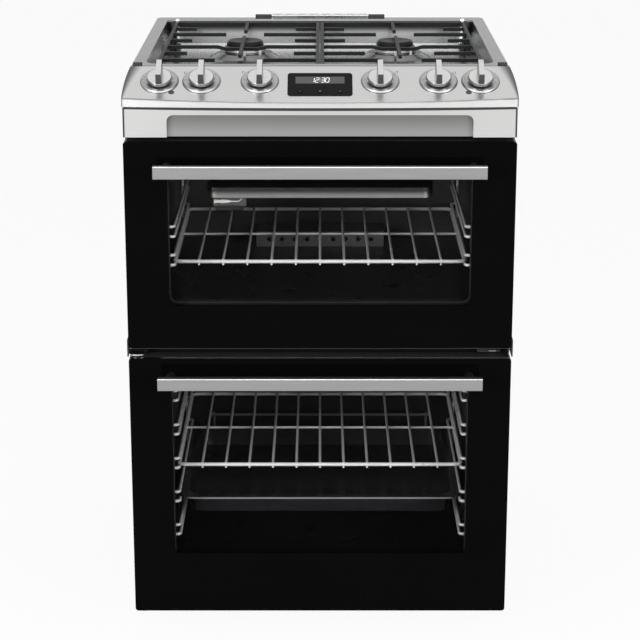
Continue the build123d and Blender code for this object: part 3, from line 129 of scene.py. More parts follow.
class Recipe:
    """The nodes of one material or world."""

    def __init__(self, owner: Union[bpy.types.Material, bpy.types.World]) -> None:
        """Empties a node tree.

        Args:
            owner: the material or world that the nodes are for.
        """
        owner.use_nodes = True
        self.tree = owner.node_tree
        self.tree.nodes.clear()

    def node(self, kind: str, settings: Optional[dict[str, Any]] = None,
             inputs: Optional[dict[Union[int, str], Any]] = None, output: Union[int, str] = 0) -> Value:
        """Adds a node.

        Args:
            kind: the node's type.
            settings: its own settings, which are set first.
            inputs: a value or a link for each named or numbered socket.
            output: which output to return.

        Returns:
            That output.
        """
        made = self.tree.nodes.new(kind)
        for name, setting in (settings or {}).items():
            setattr(made, name, setting)
        for key, given in (inputs or {}).items():
            socket = made.inputs[key]
            if isinstance(given, Value):
                self.tree.links.new(given.socket, socket)
            elif socket.type == "RGBA":
                socket.default_value = (*given, 1.0)
            else:
                socket.default_value = given
        return Value(self, made.outputs[output] if made.outputs else None)

    def split(self, vector: Value) -> tuple[Value, ...]:
        """A vector's x, y and z."""
        parts = self.node("ShaderNodeSeparateXYZ", None, {0: vector}).socket.node
        return tuple(Value(self, output) for output in parts.outputs)

    def place(self) -> Value:
        """The point on the piece, in metres."""
        return self.node("ShaderNodeTexCoord", output="Object")

    def axes(self) -> tuple[Value, ...]:
        """The point's x, y and z."""
        return self.split(self.place())

    def noise(self, scale: float, stretch: Point = (1.0, 1.0, 1.0), detail: float = 3.0) -> Value:
        """Soft noise about 0.5.

        Args:
            scale: features per metre.
            stretch: factors on the scale along x, y and z.
            detail: how many finer layers are added.

        Returns:
            The noise.
        """
        scaled = tuple(scale * factor for factor in stretch)
        point = self.node("ShaderNodeMapping", None, {"Vector": self.place(), "Scale": scaled})
        return self.node("ShaderNodeTexNoise", None, {"Vector": point, "Scale": 1.0, "Detail": detail})

    def cells(self, scale: float, output: str) -> Value:
        """Voronoi cells of so many per metre: their Distance or their random Color."""
        return self.node("ShaderNodeTexVoronoi", None, {"Vector": self.place(), "Scale": scale}, output)

    def mix(self, share: Input, first: Input, second: Input) -> Value:
        """A colour between two colours, by share."""
        inputs = {MIX_SHARE: share, MIX_FIRST: first, MIX_SECOND: second}
        return self.node("ShaderNodeMix", {"data_type": "RGBA"}, inputs, MIX_RESULT)

    def bump(self, height: Value, depth: float, strength: float = 1.0) -> Value:
        """A normal from a height of 0 to 1, depth metres deep."""
        return self.node("ShaderNodeBump", None, {"Height": height, "Distance": depth, "Strength": strength})

    def surface(self, **sockets: Input) -> None:
        """Closes the material with one principled surface.

        Args:
            sockets: its inputs, with underscores for the spaces in their names.
        """
        inputs = {name.replace("_", " "): given for name, given in sockets.items()}
        shader = self.node("ShaderNodeBsdfPrincipled", None, inputs)
        self.node("ShaderNodeOutputMaterial", None, {"Surface": shader})


def grey(level: float, blue: float = 0.0) -> Colour:
    """A grey with a little more or less blue in it."""
    return (level, level, level + blue)


def bow(x: Value, half_width: float) -> Value:
    """1 in the middle, falling along an arc to 0 at half a width on either side."""
    return 1 - x * x * (1 / half_width ** 2)


@dataclass(frozen=True)
class Finish:
    """A named finish, made into a material the first time that it is used."""

    name: str
    colour: Colour

    def material(self) -> bpy.types.Material:
        """Finds the finish's material, or mixes it.

        Returns:
            The material.
        """
        name = f"{self.name}_finish"
        material = bpy.data.materials.get(name)
        if material is None:
            material = bpy.data.materials.new(name)
            self.mixed(Recipe(material))
        return material

    def mixed(self, recipe: Recipe) -> None:
        """Builds the finish on an empty recipe."""
        raise NotImplementedError

    def shade(self, factor: float) -> Colour:
        """The finish's colour, lighter or darker."""
        return tuple(min(1.0, channel * factor) for channel in self.colour)

    def shades(self, recipe: Recipe) -> list[Shade]:
        """Where the finish takes another colour, and which. A plain finish has no such place."""
        return []

    def shaded(self, recipe: Recipe, colour: Value) -> Value:
        """Lays each of the finish's shades over a colour.

        Args:
            recipe: the recipe of the finish.
            colour: the colour underneath.

        Returns:
            The colour with its shades.
        """
        for mask, shade in self.shades(recipe):
            colour = recipe.mix(mask, colour, shade)
        return colour


@dataclass(frozen=True)
class Brushed(Finish):
    """Brushed or satin steel with a fine straight grain and faint wipe marks."""

    roughness: float = 0.3
    grain: Point = (0.012, 1.0, 1.0)
    lines: float = 900.0
    contrast: float = 0.07
    depth: float = 4e-6
    edge_tint: float = 1.0
    wipes: Point = (7.0, 7.0, 11.2)
    gloss_shares: tuple[float, float, float] = (0.8, 0.25, 0.15)

    def mixed(self, recipe: Recipe) -> None:
        """Grain in colour, roughness and bump, with broad wipe marks in the roughness.

        Args:
            recipe: the empty recipe of the finish.
        """
        grain = recipe.noise(self.lines, self.grain, detail=2.0)
        wipes = recipe.noise(1.0, self.wipes, detail=2.0)
        even, grained, wiped = (self.roughness * share for share in self.gloss_shares)
        steel = recipe.mix(grain, self.shade(1 - self.contrast), self.shade(1 + self.contrast))
        recipe.surface(
            Base_Color=self.shaded(recipe, steel), Metallic=1.0,
            Roughness=even + grain * grained + wipes * wiped,
            Specular_Tint=grey(self.edge_tint), Normal=recipe.bump(grain, self.depth))


@dataclass(frozen=True)
class FasciaSteel(Brushed):
    """Brushed steel of the bowed fascia, with painted shade that dims the highlight along its fold and painted
    shade where its ends turn away from the light.
    """

    half_width: float = 0.298
    draw_in: float = 9.0 * MM
    fold: float = 0.862
    fold_drop: float = 5.8 * MM
    fold_lift: float = 0.4 * MM
    fold_edge: Span = (0.7 * MM, 1.4 * MM)
    top: float = 0.8995
    end_widths: Span = (3.0 * MM, 22.0 * MM)
    end_ramp: Span = (0.1, 1.0)
    fold_shade: float = 0.40
    end_shade: float = 0.22

    def shades(self, recipe: Recipe) -> list[Shade]:
        """Painted shade on the fold, and on both ends, which widen with height.

        Args:
            recipe: the recipe of the finish.

        Returns:
            The painted shade of the fold and that of the ends.
        """
        x, _, z = recipe.axes()
        over_fold = z - self.fold + bow(x, self.half_width) * self.fold_drop
        # Painted shade along the fold, dimming its highlight.
        folded = 1 - abs(over_fold + self.fold_lift).ramp(*self.fold_edge)
        # Painted shade on both ends, widening with height, where they turn away from the light.
        rise = ((z - self.fold) / (self.top - self.fold)).at_least(0.0)
        inwards = self.half_width - rise * rise * self.draw_in - abs(x)
        narrow, wide = self.end_widths
        turned = 1 - (inwards / (rise * (wide - narrow) + narrow)).ramp(*self.end_ramp)
        return [(folded, self.shade(self.fold_shade)), (turned, self.shade(self.end_shade))]


@dataclass(frozen=True)
class Recessed(Brushed):
    """Brushed steel with a pressed recess, with painted shade deep in it and at its own ends, and a painted shadow
    under a bowed lip.
    """

    front: float = 0.0
    recess: Span = (2.0 * MM, 8.0 * MM)
    recess_half: float = 0.231
    half_width: float = 0.297
    foot: float = 0.0
    roof: float = 0.1
    top: float = 0.1
    end_width: float = 12.0 * MM
    roof_share: float = 0.7
    lip_shadow: Span = (-2.6 * MM, -1.56 * MM)
    lip_bow: float = 2.7 * MM
    edge: Span = (3.5 * MM, 2.0 * MM)
    deep_shade: float = 0.56
    roof_shade: float = 0.22
    edge_shade: float = 0.10

    def shades(self, recipe: Recipe) -> list[Shade]:
        """Painted shade in the recess by its depth behind the front, then the lip's painted shadow and painted
        shade on both ends.

        Args:
            recipe: the recipe of the finish.

        Returns:
            The painted shade of the recess and that of its painted dark edges.
        """
        x, y, z = recipe.axes()
        # Painted shade in the recess: darker the deeper it lies, darkest under its roof and at its ends.
        deep = (y - self.front).ramp(*self.recess)
        under_roof = z.ramp(self.foot, self.roof) * self.roof_share
        by_end = abs(x).ramp(self.recess_half - self.end_width, self.recess_half) * (1 - self.roof_share)
        hollow = recipe.mix(under_roof + by_end, self.shade(self.deep_shade), self.shade(self.roof_shade))
        # Painted shadow under the lip, and painted shade on the strip's two ends.
        under_lip = (z - self.top + bow(x, self.half_width) * self.lip_bow).ramp(*self.lip_shadow)
        turned = abs(x).ramp(*(self.half_width - inset for inset in self.edge))
        return [(deep, hollow), (under_lip + turned, self.shade(self.edge_shade))]


@dataclass(frozen=True)
class Graded(Brushed):
    """Brushed steel with painted shade that grows darker with height."""

    foot: float = 0.0
    top: float = 0.1
    top_shade: float = 0.15

    def shades(self, recipe: Recipe) -> list[Shade]:
        """Painted shade, darker towards the top."""
        return [(recipe.axes()[2].ramp(self.foot, self.top), self.shade(self.top_shade))]


@dataclass(frozen=True)
class KnobMetal(Brushed):
    """Satin knob metal on the disc and on top of the finger grip, with painted shade on the sides all round."""

    axis: Span = (-0.242859, 0.882)
    slope: float = 30.0
    disc_top: float = 9.6 * MM
    grip_top: float = 27.6 * MM
    margin: float = 0.2 * MM
    side_shade: float = 0.13
    wall_shade: float = 0.40

    def shades(self, recipe: Recipe) -> list[Shade]:
        """Painted shade: dark on the grip's sides and half dark on the disc's wall.

        Args:
            recipe: the recipe of the finish.

        Returns:
            The painted shade of the sides.
        """
        _, y, z = recipe.axes()
        cosine, sine = math.cos(self.slope * DEGREE), math.sin(self.slope * DEGREE)
        height = (z - self.axis[1]) * cosine - (y - self.axis[0]) * sine
        on_disc = abs(height - self.disc_top) < self.margin
        on_grip = height > self.grip_top - self.margin
        # Painted shade on every face that is neither the disc's top nor the grip's top.
        sides = recipe.mix(height < self.disc_top, self.shade(self.side_shade), self.shade(self.wall_shade))
        return [(1 - (on_disc + on_grip), sides)]


@dataclass(frozen=True)
class Edged(Brushed):
    """Brushed steel with a painted highlight along its top edge."""

    top: float = 0.0
    edge: Span = (-2.2 * MM, -0.88 * MM)
    edge_shade: float = 2.5

    def shades(self, recipe: Recipe) -> list[Shade]:
        """Painted highlight, brighter towards the top edge."""
        return [((recipe.axes()[2] - self.top).ramp(*self.edge), self.shade(self.edge_shade))]


@dataclass(frozen=True)
class Welled(Brushed):
    """Brushed steel of a pressed well, with painted shade: a duller rim, dark walls under it and darker corners.
    """

    low: Point = (0.0, 0.0, 0.0)
    high: Point = (1.0, 1.0, 1.0)
    rim_width: float = 14.0 * MM
    rim_edge: Span = (0.5 * MM, 1.5 * MM)
    wall_inset: float = 28.4 * MM
    corner_inset: float = 42.0 * MM
    wall_share: float = 0.8
    band_start: Span = (2.5 * MM, 4.0 * MM)
    band_end: Span = (14.0 * MM, 26.0 * MM)
    band_shade: float = 0.16
    rim_shade: float = 0.66

    def shades(self, recipe: Recipe) -> list[Shade]:
        """Painted shade on the rim, then on the walls inside it.

        Args:
            recipe: the recipe of the finish.

        Returns:
            The painted shade of the rim and that of the walls.
        """
        x, y, z = recipe.axes()
        half = (self.high[1] - self.low[1]) / 2
        out_x = abs(x) - self.high[0]
        out_y = abs(y - (self.high[1] - half)) - half
        inside = (out_x < -self.rim_width) * (out_y < -self.rim_width)
        depth = self.high[2] - z
        # Painted shade on the walls just under the rim, reaching deeper on the side walls and in the corners.
        corner = (out_x > -self.corner_inset) * (out_y > -self.corner_inset)
        walls = ((out_x > -self.wall_inset) + corner) * self.wall_share
        dark = depth.ramp(*self.band_start) * (1 - depth.ramp(*self.band_end) + walls)
        # Painted shade on the rim, which dims its reflection.
        rim = 1 - depth.ramp(*self.rim_edge)
        return [(rim, self.shade(self.rim_shade)), (inside * dark, self.shade(self.band_shade))]


@dataclass(frozen=True)
class Polished(Finish):
    """Bright plated wire and turned metal, with a little tarnish and heat tint."""

    roughness: float = 0.1
    tint: Colour = (0.62, 0.52, 0.40)
    tint_share: float = 0.25
    metallic: float = 1.0
    patch_edge: Span = (0.45, 0.75)
    patch_gloss: float = 0.06
    scuff_gloss: float = 0.05

    def mixed(self, recipe: Recipe) -> None:
        """Patches of tint, and roughness that follows them.

        Args:
            recipe: the empty recipe of the finish.
        """
        patches = recipe.noise(scale=9.0, detail=4.0).ramp(*self.patch_edge)
        scuffs = recipe.noise(scale=260.0, detail=2.0)
        recipe.surface(
            Base_Color=recipe.mix(patches * self.tint_share, self.colour, self.tint), Metallic=self.metallic,
            Roughness=self.roughness + patches * self.patch_gloss + scuffs * self.scuff_gloss,
            Normal=recipe.bump(scuffs, depth=6e-6))


@dataclass(frozen=True)
class Enamel(Finish):
    """Fired enamel: deep gloss, slight waves and a sprinkle of pale flecks."""

    roughness: float = 0.16
    fleck: Colour = (0.16, 0.16, 0.17)
    fleck_size: float = 0.10
    fleck_scale: float = 420.0
    specular: float = 0.35
    wave_gloss: float = 0.10

    def mixed(self, recipe: Recipe) -> None:
        """Flecks from small cells, and a slow wave in the gloss.

        Args:
            recipe: the empty recipe of the finish.
        """
        flecks = recipe.cells(self.fleck_scale, "Distance") < self.fleck_size
        wave = recipe.noise(scale=22.0, detail=2.0)
        recipe.surface(
            Base_Color=self.shaded(recipe, recipe.mix(flecks, self.colour, self.fleck)),
            Roughness=self.roughness + wave * self.wave_gloss, Specular_IOR_Level=self.specular,
            Normal=recipe.bump(wave, depth=3e-4, strength=0.5))


@dataclass(frozen=True)
class OvenEnamel(Enamel):
    """Enamel of an oven, with painted light: paler towards the rear, where light from the window falls, and darker
    towards its door.
    """

    start: float = 0.0
    rear: float = 0.19
    clean: Colour = (0.05, 0.05, 0.05)
    clean_share: float = 0.8

    def shades(self, recipe: Recipe) -> list[Shade]:
        """Painted light, paler towards the rear."""
        return [(recipe.axes()[1].ramp(self.start, self.rear) * self.clean_share, self.clean)]


@dataclass(frozen=True)
class RimmedEnamel(Enamel):
    """Enamel with a patchy painted highlight along the front of a rolled rim."""

    front: float = 0.0
    top: float = 0.0
    worn: Colour = (0.34, 0.34, 0.34)
    worn_depth: Span = (1.5 * MM, 3.0 * MM)
    worn_height: Span = (-3.0 * MM, -1.5 * MM)
    worn_least: float = 0.7

    def shades(self, recipe: Recipe) -> list[Shade]:
        """A painted highlight along the front of the rim, brighter in some places than in others.

        Args:
            recipe: the recipe of the finish.

        Returns:
            The painted highlight of the rim.
        """
        _, y, z = recipe.axes()
        # Painted highlight on the rim's front top edge, made patchy with noise.
        near = 1 - (y - self.front).ramp(*self.worn_depth)
        high = (z - self.top).ramp(*self.worn_height)
        patchy = self.worn_least + recipe.noise(scale=30.0) * (1 - self.worn_least)
        return [(near * high * patchy, self.worn)]


@dataclass(frozen=True)
class Coated(Finish):
    """Powder coat, rubber, plastic, print or bare iron: a grain of its own and worn, paler patches."""

    roughness: float = 0.5
    scale: float = 700.0
    depth: float = 3e-5
    spread: float = 0.25
    metallic: float = 0.0
    specular: float = 0.5
    gloss_shares: Span = (0.85, 0.3)

    def mixed(self, recipe: Recipe) -> None:
        """A fine grain in the bump, and broad patches in colour and roughness.

        Args:
            recipe: the empty recipe of the finish.
        """
        grain = recipe.noise(self.scale, detail=2.0)
        patches = recipe.noise(scale=14.0, detail=5.0)
        even, patched = (self.roughness * share for share in self.gloss_shares)
        colour = recipe.mix((grain + patches) / 2, self.shade(1 - self.spread), self.shade(1 + self.spread))
        recipe.surface(
            Base_Color=colour, Roughness=even + patches * patched, Metallic=self.metallic,
            Specular_IOR_Level=self.specular, Normal=recipe.bump(grain, self.depth))


@dataclass(frozen=True)
class Zinc(Finish):
    """Zinc coated sheet with its crystal flowers."""

    roughness: float = 0.42
    flowers: float = 75.0
    flower_share: float = 0.6
    flower_gloss: float = 0.14
    dark: float = 0.82
    pale: float = 1.15

    def mixed(self, recipe: Recipe) -> None:
        """Each crystal has its own grey and its own gloss.

        Args:
            recipe: the empty recipe of the finish.
        """
        flower = recipe.split(recipe.cells(self.flowers, "Color"))[0]
        streaks = recipe.noise(scale=60.0, stretch=(1.0, 1.0, 0.2))
        share = flower * self.flower_share + streaks * (1 - self.flower_share)
        recipe.surface(
            Base_Color=recipe.mix(share, self.shade(self.dark), self.shade(self.pale)), Metallic=0.85,
            Roughness=self.roughness + flower * self.flower_gloss, Normal=recipe.bump(streaks, depth=2e-5))


@dataclass(frozen=True)
class FiredAlloy(Finish):
    """Cast burner alloy, stained darker by the flames towards its top edge."""

    roughness: float = 0.38
    stain: Colour = (0.20, 0.17, 0.15)
    stain_share: float = 0.45
    stain_gloss: float = 0.2
    stain_edge: Span = (0.866, 0.878)
    stain_waver: float = 6.0 * MM

    def mixed(self, recipe: Recipe) -> None:
        """Heat stain by height, broken up by the casting's grain.

        Args:
            recipe: the empty recipe of the finish.
        """
        grain = recipe.noise(scale=420.0)
        stained = (recipe.axes()[2] + grain * self.stain_waver).ramp(*self.stain_edge) * self.stain_share
        recipe.surface(
            Base_Color=recipe.mix(stained, self.colour, self.stain), Metallic=1.0,
            Roughness=self.roughness + stained * self.stain_gloss, Normal=recipe.bump(grain, depth=4e-5))


@dataclass(frozen=True)
class Glass(Finish):
    """A clear pane with wipe marks in its tint and gloss."""

    roughness: float = 0.02
    wipes: Point = (6.0, 6.0, 12.0)
    wiped: float = 1.4
    wipe_gloss: float = 0.05
    specular: float = 0.1
    tint: Span = (0.03, 0.04)

    def mixed(self, recipe: Recipe) -> None:
        """Wipe marks, over what the pane hides.

        Args:
            recipe: the empty recipe of the finish.
        """
        wipes = recipe.noise(1.0, self.wipes, detail=4.0)
        recipe.surface(
            Base_Color=recipe.mix(wipes, self.colour, self.shade(self.wiped)),
            Roughness=self.roughness + wipes * self.wipe_gloss, Specular_IOR_Level=self.specular,
            Alpha=self.cover(recipe, wipes))

    def cover(self, recipe: Recipe, wipes: Value) -> Value:
        """How much the pane hides: a breath of tint, more in the wipe marks."""
        even, wiped = self.tint
        return even + wipes * wiped


@dataclass(frozen=True)
class DoorGlass(Glass):
    """The outer pane of a door: black print round a dark, clear window."""

    roughness: float = 0.03
    wipes: Point = (5.0, 5.0, 11.0)
    wiped: float = 1.6
    specular: float = 0.018
    tint: Span = (0.06, 0.0)
    half_width: float = 0.232
    low: float = 0.0
    high: float = 0.1
    corner: float = 6.0 * MM

    def cover(self, recipe: Recipe, wipes: Value) -> Value:
        """Everything outside the window's rounded outline, and the tint inside.

        Args:
            recipe: the recipe of the finish.
            wipes: the pane's wipe marks.

        Returns:
            How much the pane hides.
        """
        x, _, z = recipe.axes()
        middle, half_height = (self.low + self.high) / 2, (self.high - self.low) / 2
        out_x = (abs(x) - (self.half_width - self.corner)).at_least(0.0)
        out_z = (abs(z - middle) - (half_height - self.corner)).at_least(0.0)
        printed = (out_x * out_x + out_z * out_z) > self.corner ** 2
        clear = super().cover(recipe, wipes)
        return clear + printed * (1 - clear)


@dataclass(frozen=True)
class Glow(Finish):
    """Lit marks of a display, with a fine row of dots in them."""

    strength: float = 0.8
    dim: float = 0.85

    def mixed(self, recipe: Recipe) -> None:
        """Light that dims a little between the dots."""
        light = recipe.mix(recipe.noise(scale=1500.0, detail=0.0), self.shade(self.dim), self.colour)
        recipe.surface(Base_Color=light, Roughness=0.4, Emission_Color=light, Emission_Strength=self.strength)


class Finishes:
    """Every finish on the cooker."""

    strip_low, strip_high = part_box("vent_strip")
    hob_low, hob_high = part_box("hob_panel")
    grill_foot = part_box("grill_burner")[0].z
    tray_low, tray_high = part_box("roasting_tray")
    # The fascia: painted shade along its fold and at its ends.
    fascia = FasciaSteel("fascia_steel", grey(0.69, -0.005), roughness=0.30)
    # The vent strip: painted shade in its recess, under the lip and at its ends.
    vent = Recessed(
        "vent_steel", grey(0.61, -0.01), roughness=0.30, front=strip_low.y, foot=strip_low.z,
        roof=strip_low.z + 34.0 * MM, top=strip_high.z)
    # The handles: a painted highlight along each top edge.
    upper_handle, lower_handle = (
        Edged(
            f"{door}_handle_steel", grey(0.335), roughness=0.30, contrast=0.16, lines=1100.0,
            top=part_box(f"{door}_door_handle")[1].z)
        for door in ("upper", "lower"))
    # The hob: painted shade on its rim, its walls and its corners.
    hob = Welled(
        "hob_steel", (0.42, 0.425, 0.43), roughness=0.22, grain=(0.2, 0.012, 1.0), contrast=0.05,
        depth=1e-6, edge_tint=0.8, low=tuple(hob_low), high=tuple(hob_high))
    trim = Brushed("trim_steel", grey(0.72), roughness=0.2)
    # The knobs: painted shade on their sides.
    knob = KnobMetal("knob_metal", grey(0.74, -0.005), roughness=0.24)
    bezel = Brushed("bezel_metal", grey(0.50), roughness=0.38, grain=(1.0, 0.05, 0.05), contrast=0.05)
    # The grill burner: painted shade, darker towards its top.
    grill = Graded(
        "grill_steel", (0.34, 0.335, 0.33), roughness=0.34, lines=500.0, contrast=0.12,
        foot=grill_foot + 2.0 * MM, top=grill_foot + 12.0 * MM)
    rail = Coated("rail_steel", grey(0.50), roughness=0.35, metallic=0.3, spread=0.1)
    bracket = Coated("bracket_steel", grey(0.10), roughness=0.4, metallic=0.6)
    cover = Coated("cover_steel", grey(0.20), roughness=0.45, scale=500.0, metallic=0.5, spread=0.3)
    wire = Polished("chrome_wire", grey(0.92), roughness=0.2, metallic=0.2)
    brass = Polished("tap_brass", (0.72, 0.55, 0.26), roughness=0.26, tint=(0.35, 0.24, 0.12), tint_share=0.4)
    tube = Polished("pipe_metal", grey(0.62, 0.02), roughness=0.3, tint=grey(0.45, 0.01))
    # Painted light at each oven's rear: paler in the upper oven than in the lower one.
    upper_oven, lower_oven = (
        OvenEnamel(
            f"{oven}_oven_enamel", grey(0.005, 0.001), roughness=0.24, fleck=grey(0.05, 0.005), specular=0.18,
            rear=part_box(f"{oven}_cavity")[1].y, clean=clean)
        for oven, clean in (("upper", (0.090, 0.088, 0.085)), ("lower", grey(0.022))))
    face = Enamel("frame_enamel", grey(0.007, 0.001), roughness=0.2, fleck=grey(0.03, 0.002))
    # The roasting tray: a painted highlight along the front of its rim.
    tray = RimmedEnamel(
        "tray_enamel", grey(0.016, 0.002), roughness=0.14, fleck=grey(0.10, 0.01), front=tray_low.y,
        top=tray_high.z)
    cap = Enamel("cap_enamel", grey(0.014, 0.001), roughness=0.38, fleck=grey(0.04), specular=0.2)
    iron = Coated(
        "support_iron", (0.017, 0.0175, 0.018), roughness=0.48, scale=900.0, depth=5e-5, specular=0.15)
    casing = Coated("casing_coat", grey(0.035, 0.003), roughness=0.42, spread=0.15)
    door_pan = Coated("door_pan_coat", grey(0.020, 0.002), roughness=0.45, spread=0.2)
    plastic = Coated("black_plastic", grey(0.022, 0.002), roughness=0.5, scale=1100.0)
    rubber = Coated("seal_rubber", grey(0.030), roughness=0.75, scale=500.0, spread=0.3)
    ceramic = Coated(
        "glazed_ceramic", (0.78, 0.77, 0.73), roughness=0.2, scale=300.0, depth=8e-6, spread=0.06)
    ink = Coated("dark_print", grey(0.045, 0.005), roughness=0.5, scale=1500.0, depth=4e-6, spread=0.2)
    screw = Coated("screw_steel", grey(0.42, 0.01), roughness=0.35, metallic=1.0, spread=0.1)
    zinc = Zinc("zinc_sheet", (0.50, 0.51, 0.52))
    burner = FiredAlloy("burner_alloy", grey(0.60))
    display = Coated(
        "display_black", grey(0.005, 0.001), roughness=0.08, scale=40.0, depth=1e-6, specular=0.1)
    strip = Coated(
        "display_strip", (0.085, 0.088, 0.085), roughness=0.25, scale=900.0, depth=2e-6, spread=0.1,
        specular=0.15)
    digits = Glow("lit_digits", (0.85, 0.87, 0.86))
    mark = Coated("pale_mark", grey(0.10), roughness=0.4, scale=900.0, depth=2e-6)
    upper_glass = DoorGlass("upper_door_glass", grey(0.0012, 0.0002), low=0.539, high=0.746)
    lower_glass = DoorGlass("lower_door_glass", grey(0.0012, 0.0002), low=0.127, high=0.410)
    inner_glass = Glass("inner_pane_glass", grey(0.010, 0.001))


def dress(piece: bpy.types.Object, finish: Finish) -> None:
    """Gives a piece one finish all over.

    Args:
        piece: the piece.
        finish: its finish.
    """
    piece.data.materials.clear()
    piece.data.materials.append(finish.material())
    LOG.info("%s is dressed in %s", piece.name, finish.name)


def paint(finish: Finish, *names: str) -> None:
    """Gives nodes of the frame a finish."""
    for name in names:
        dress(frame["nodes"][name], finish)


class Facing(Enum):
    """A side that faces of a mesh look to."""

    UP = (0.0, 0.0, 1.0)
    DOWN = (0.0, 0.0, -1.0)
    FRONT = (0.0, -1.0, 0.0)
    LEFT = (-1.0, 0.0, 0.0)
    RIGHT = (1.0, 0.0, 0.0)


class Bench:
    """Models one piece by hand with operators."""

    def __init__(self, name: str) -> None:
        """Clears the selection for a new piece.

        Args:
            name: the piece's name.
        """
        self.name = name
        self.piece: bpy.types.Object = None
        self._free()

    @staticmethod
    def _free() -> None:
        """Leaves nothing selected and no mode open."""
        if bpy.context.object and bpy.context.object.mode != "OBJECT":
            bpy.ops.object.mode_set(mode="OBJECT")
        bpy.ops.object.select_all(action="DESELECT")

    def _select(self, *others: bpy.types.Object) -> None:
        """Selects only this piece, as the active one, and others.

        Args:
            others: the other pieces.
        """
        self._free()
        for piece in (*others, self.piece):
            piece.select_set(True)
        bpy.context.view_layer.objects.active = self.piece

    def _started(self) -> "Bench":
        """Takes the primitive that was just added.

        Returns:
            The bench, with its piece named.
        """
        self.piece = bpy.context.object
        self.piece.name = self.piece.data.name = self.name
        return self

    def _settle(self) -> "Bench":
        """Puts the piece's place, turn and scale into its mesh.

        Returns:
            The bench.
        """
        self._select()
        bpy.ops.object.transform_apply(location=True, rotation=True, scale=True)
        return self

    def block(self, low: Sequence[float], high: Sequence[float]) -> "Bench":
        """Starts from a box between two corners.

        Args:
            low: the corner with the smallest x, y and z.
            high: the corner with the largest.

        Returns:
            The bench.
        """
        low, high = Vector(low), Vector(high)
        bpy.ops.mesh.primitive_cube_add(size=1.0, location=(low + high) / 2)
        self._started().piece.scale = high - low
        return self._settle()

    def disc(self, radius: float, height: float, sides: int) -> "Bench":
        """Starts from a short upright cylinder that stands on the origin.

        Args:
            radius: its radius.
            height: its height.
            sides: how many sides it has.

        Returns:
            The bench.
        """
        middle = (0, 0, height / 2)
        bpy.ops.mesh.primitive_cylinder_add(vertices=sides, radius=radius, depth=height, location=middle)
        return self._started()._settle()

    def turned(self, profile: Sequence[Span], sides: int) -> "Bench":
        """Turns a profile round the upright axis, from an open circle of edges.

        Args:
            profile: the radius and height of each point. The first is at height 0.
            sides: how many sides the piece has.

        Returns:
            The bench, with the mesh closed.
        """
        radius, height = profile[0]
        bpy.ops.mesh.primitive_circle_add(vertices=sides, radius=radius)
        self._started()._settle()
        bpy.ops.object.mode_set(mode="EDIT")
        bpy.ops.mesh.select_mode(type="VERT")
        bpy.ops.mesh.select_all(action="SELECT")
        for next_radius, next_height in profile[1:]:
            self.grow(next_height - height, next_radius / radius)
            radius, height = next_radius, next_height
        bpy.ops.mesh.select_all(action="SELECT")
        bpy.ops.mesh.remove_doubles(threshold=MERGE_GAP)
        bpy.ops.mesh.normals_make_consistent(inside=False)
        return self.close()

    def words(self, text: str, height: float, thickness: float) -> "Bench":
        """Starts from raised lettering about the origin.

        Args:
            text: what it says.
            height: the size of its letters.
            thickness: how far it stands up.

        Returns:
            The bench.
        """
        bpy.ops.object.text_add()
        lettering = bpy.context.object.data
        lettering.body = text
        lettering.size = height
        lettering.extrude = thickness / 2
        lettering.align_x = lettering.align_y = "CENTER"
        bpy.ops.object.convert(target="MESH")
        self._started().piece.location.z = thickness / 2
        return self._settle()

    def pick(self, *sides: Facing) -> "Bench":
        """Opens the mesh with only some of its faces selected.

        Args:
            sides: the sides that those faces look to.

        Returns:
            The bench, with its mesh open.
        """
        bpy.ops.object.mode_set(mode="EDIT")
        bpy.ops.mesh.select_mode(type="FACE")
        bpy.ops.mesh.select_all(action="DESELECT")
        bpy.ops.object.mode_set(mode="OBJECT")
        nearly = 0.9
        for face in self.piece.data.polygons:
            face.select = any(face.normal.dot(side.value) > nearly for side in sides)
        bpy.ops.object.mode_set(mode="EDIT")
        return self

    def inset(self, width: float) -> "Bench":
        """Insets the selected faces."""
        bpy.ops.mesh.inset(thickness=width, depth=0)
        return self

    def extrude(self, step: Sequence[float]) -> "Bench":
        """Extrudes the selection by a step."""
        bpy.ops.mesh.extrude_region_move(TRANSFORM_OT_translate={"value": tuple(step)})
        return self

    def resize(self, factors: Sequence[float]) -> "Bench":
        """Scales the selection about its own middle."""
        bpy.ops.transform.resize(value=tuple(factors))
        return self

    def grow(self, rise: float, factor: float = 1.0) -> "Bench":
        """Extrudes the selection upwards and scales its new end across."""
        self.extrude((0, 0, rise))
        return self.resize((factor, factor, 1.0)) if factor != 1.0 else self

    def close(self) -> "Bench":
        """Leaves the mesh."""
        bpy.ops.object.mode_set(mode="OBJECT")
        return self

    def move(self, place: Matrix) -> "Bench":
        """Moves the finished mesh by a matrix."""
        self.piece.matrix_world = place
        return self._settle()

    def smooth(self, angle: float = 35.0) -> "Bench":
        """Shades the piece smooth, apart from its sharp edges.

        Args:
            angle: the least angle of a sharp edge, in degrees.

        Returns:
            The bench.
        """
        self._select()
        bpy.ops.object.shade_smooth_by_angle(angle=angle * DEGREE)
        return self

    def copies(self, places: Sequence[Matrix]) -> "Bench":
        """Repeats the piece at each place, each copy with its own mesh, and joins the copies.

        Args:
            places: where the copies go. The original goes to the first.

        Returns:
            The bench, with the joined piece.
        """
        copies = []
        for place in places[1:]:
            copy = self.piece.copy()
            copy.data = self.piece.data.copy()
            bpy.context.scene.collection.objects.link(copy)
            copy.data.transform(place)
            copies.append(copy)
        self.piece.data.transform(places[0])
        self._select(*copies)
        if copies:
            bpy.ops.object.join()
        return self

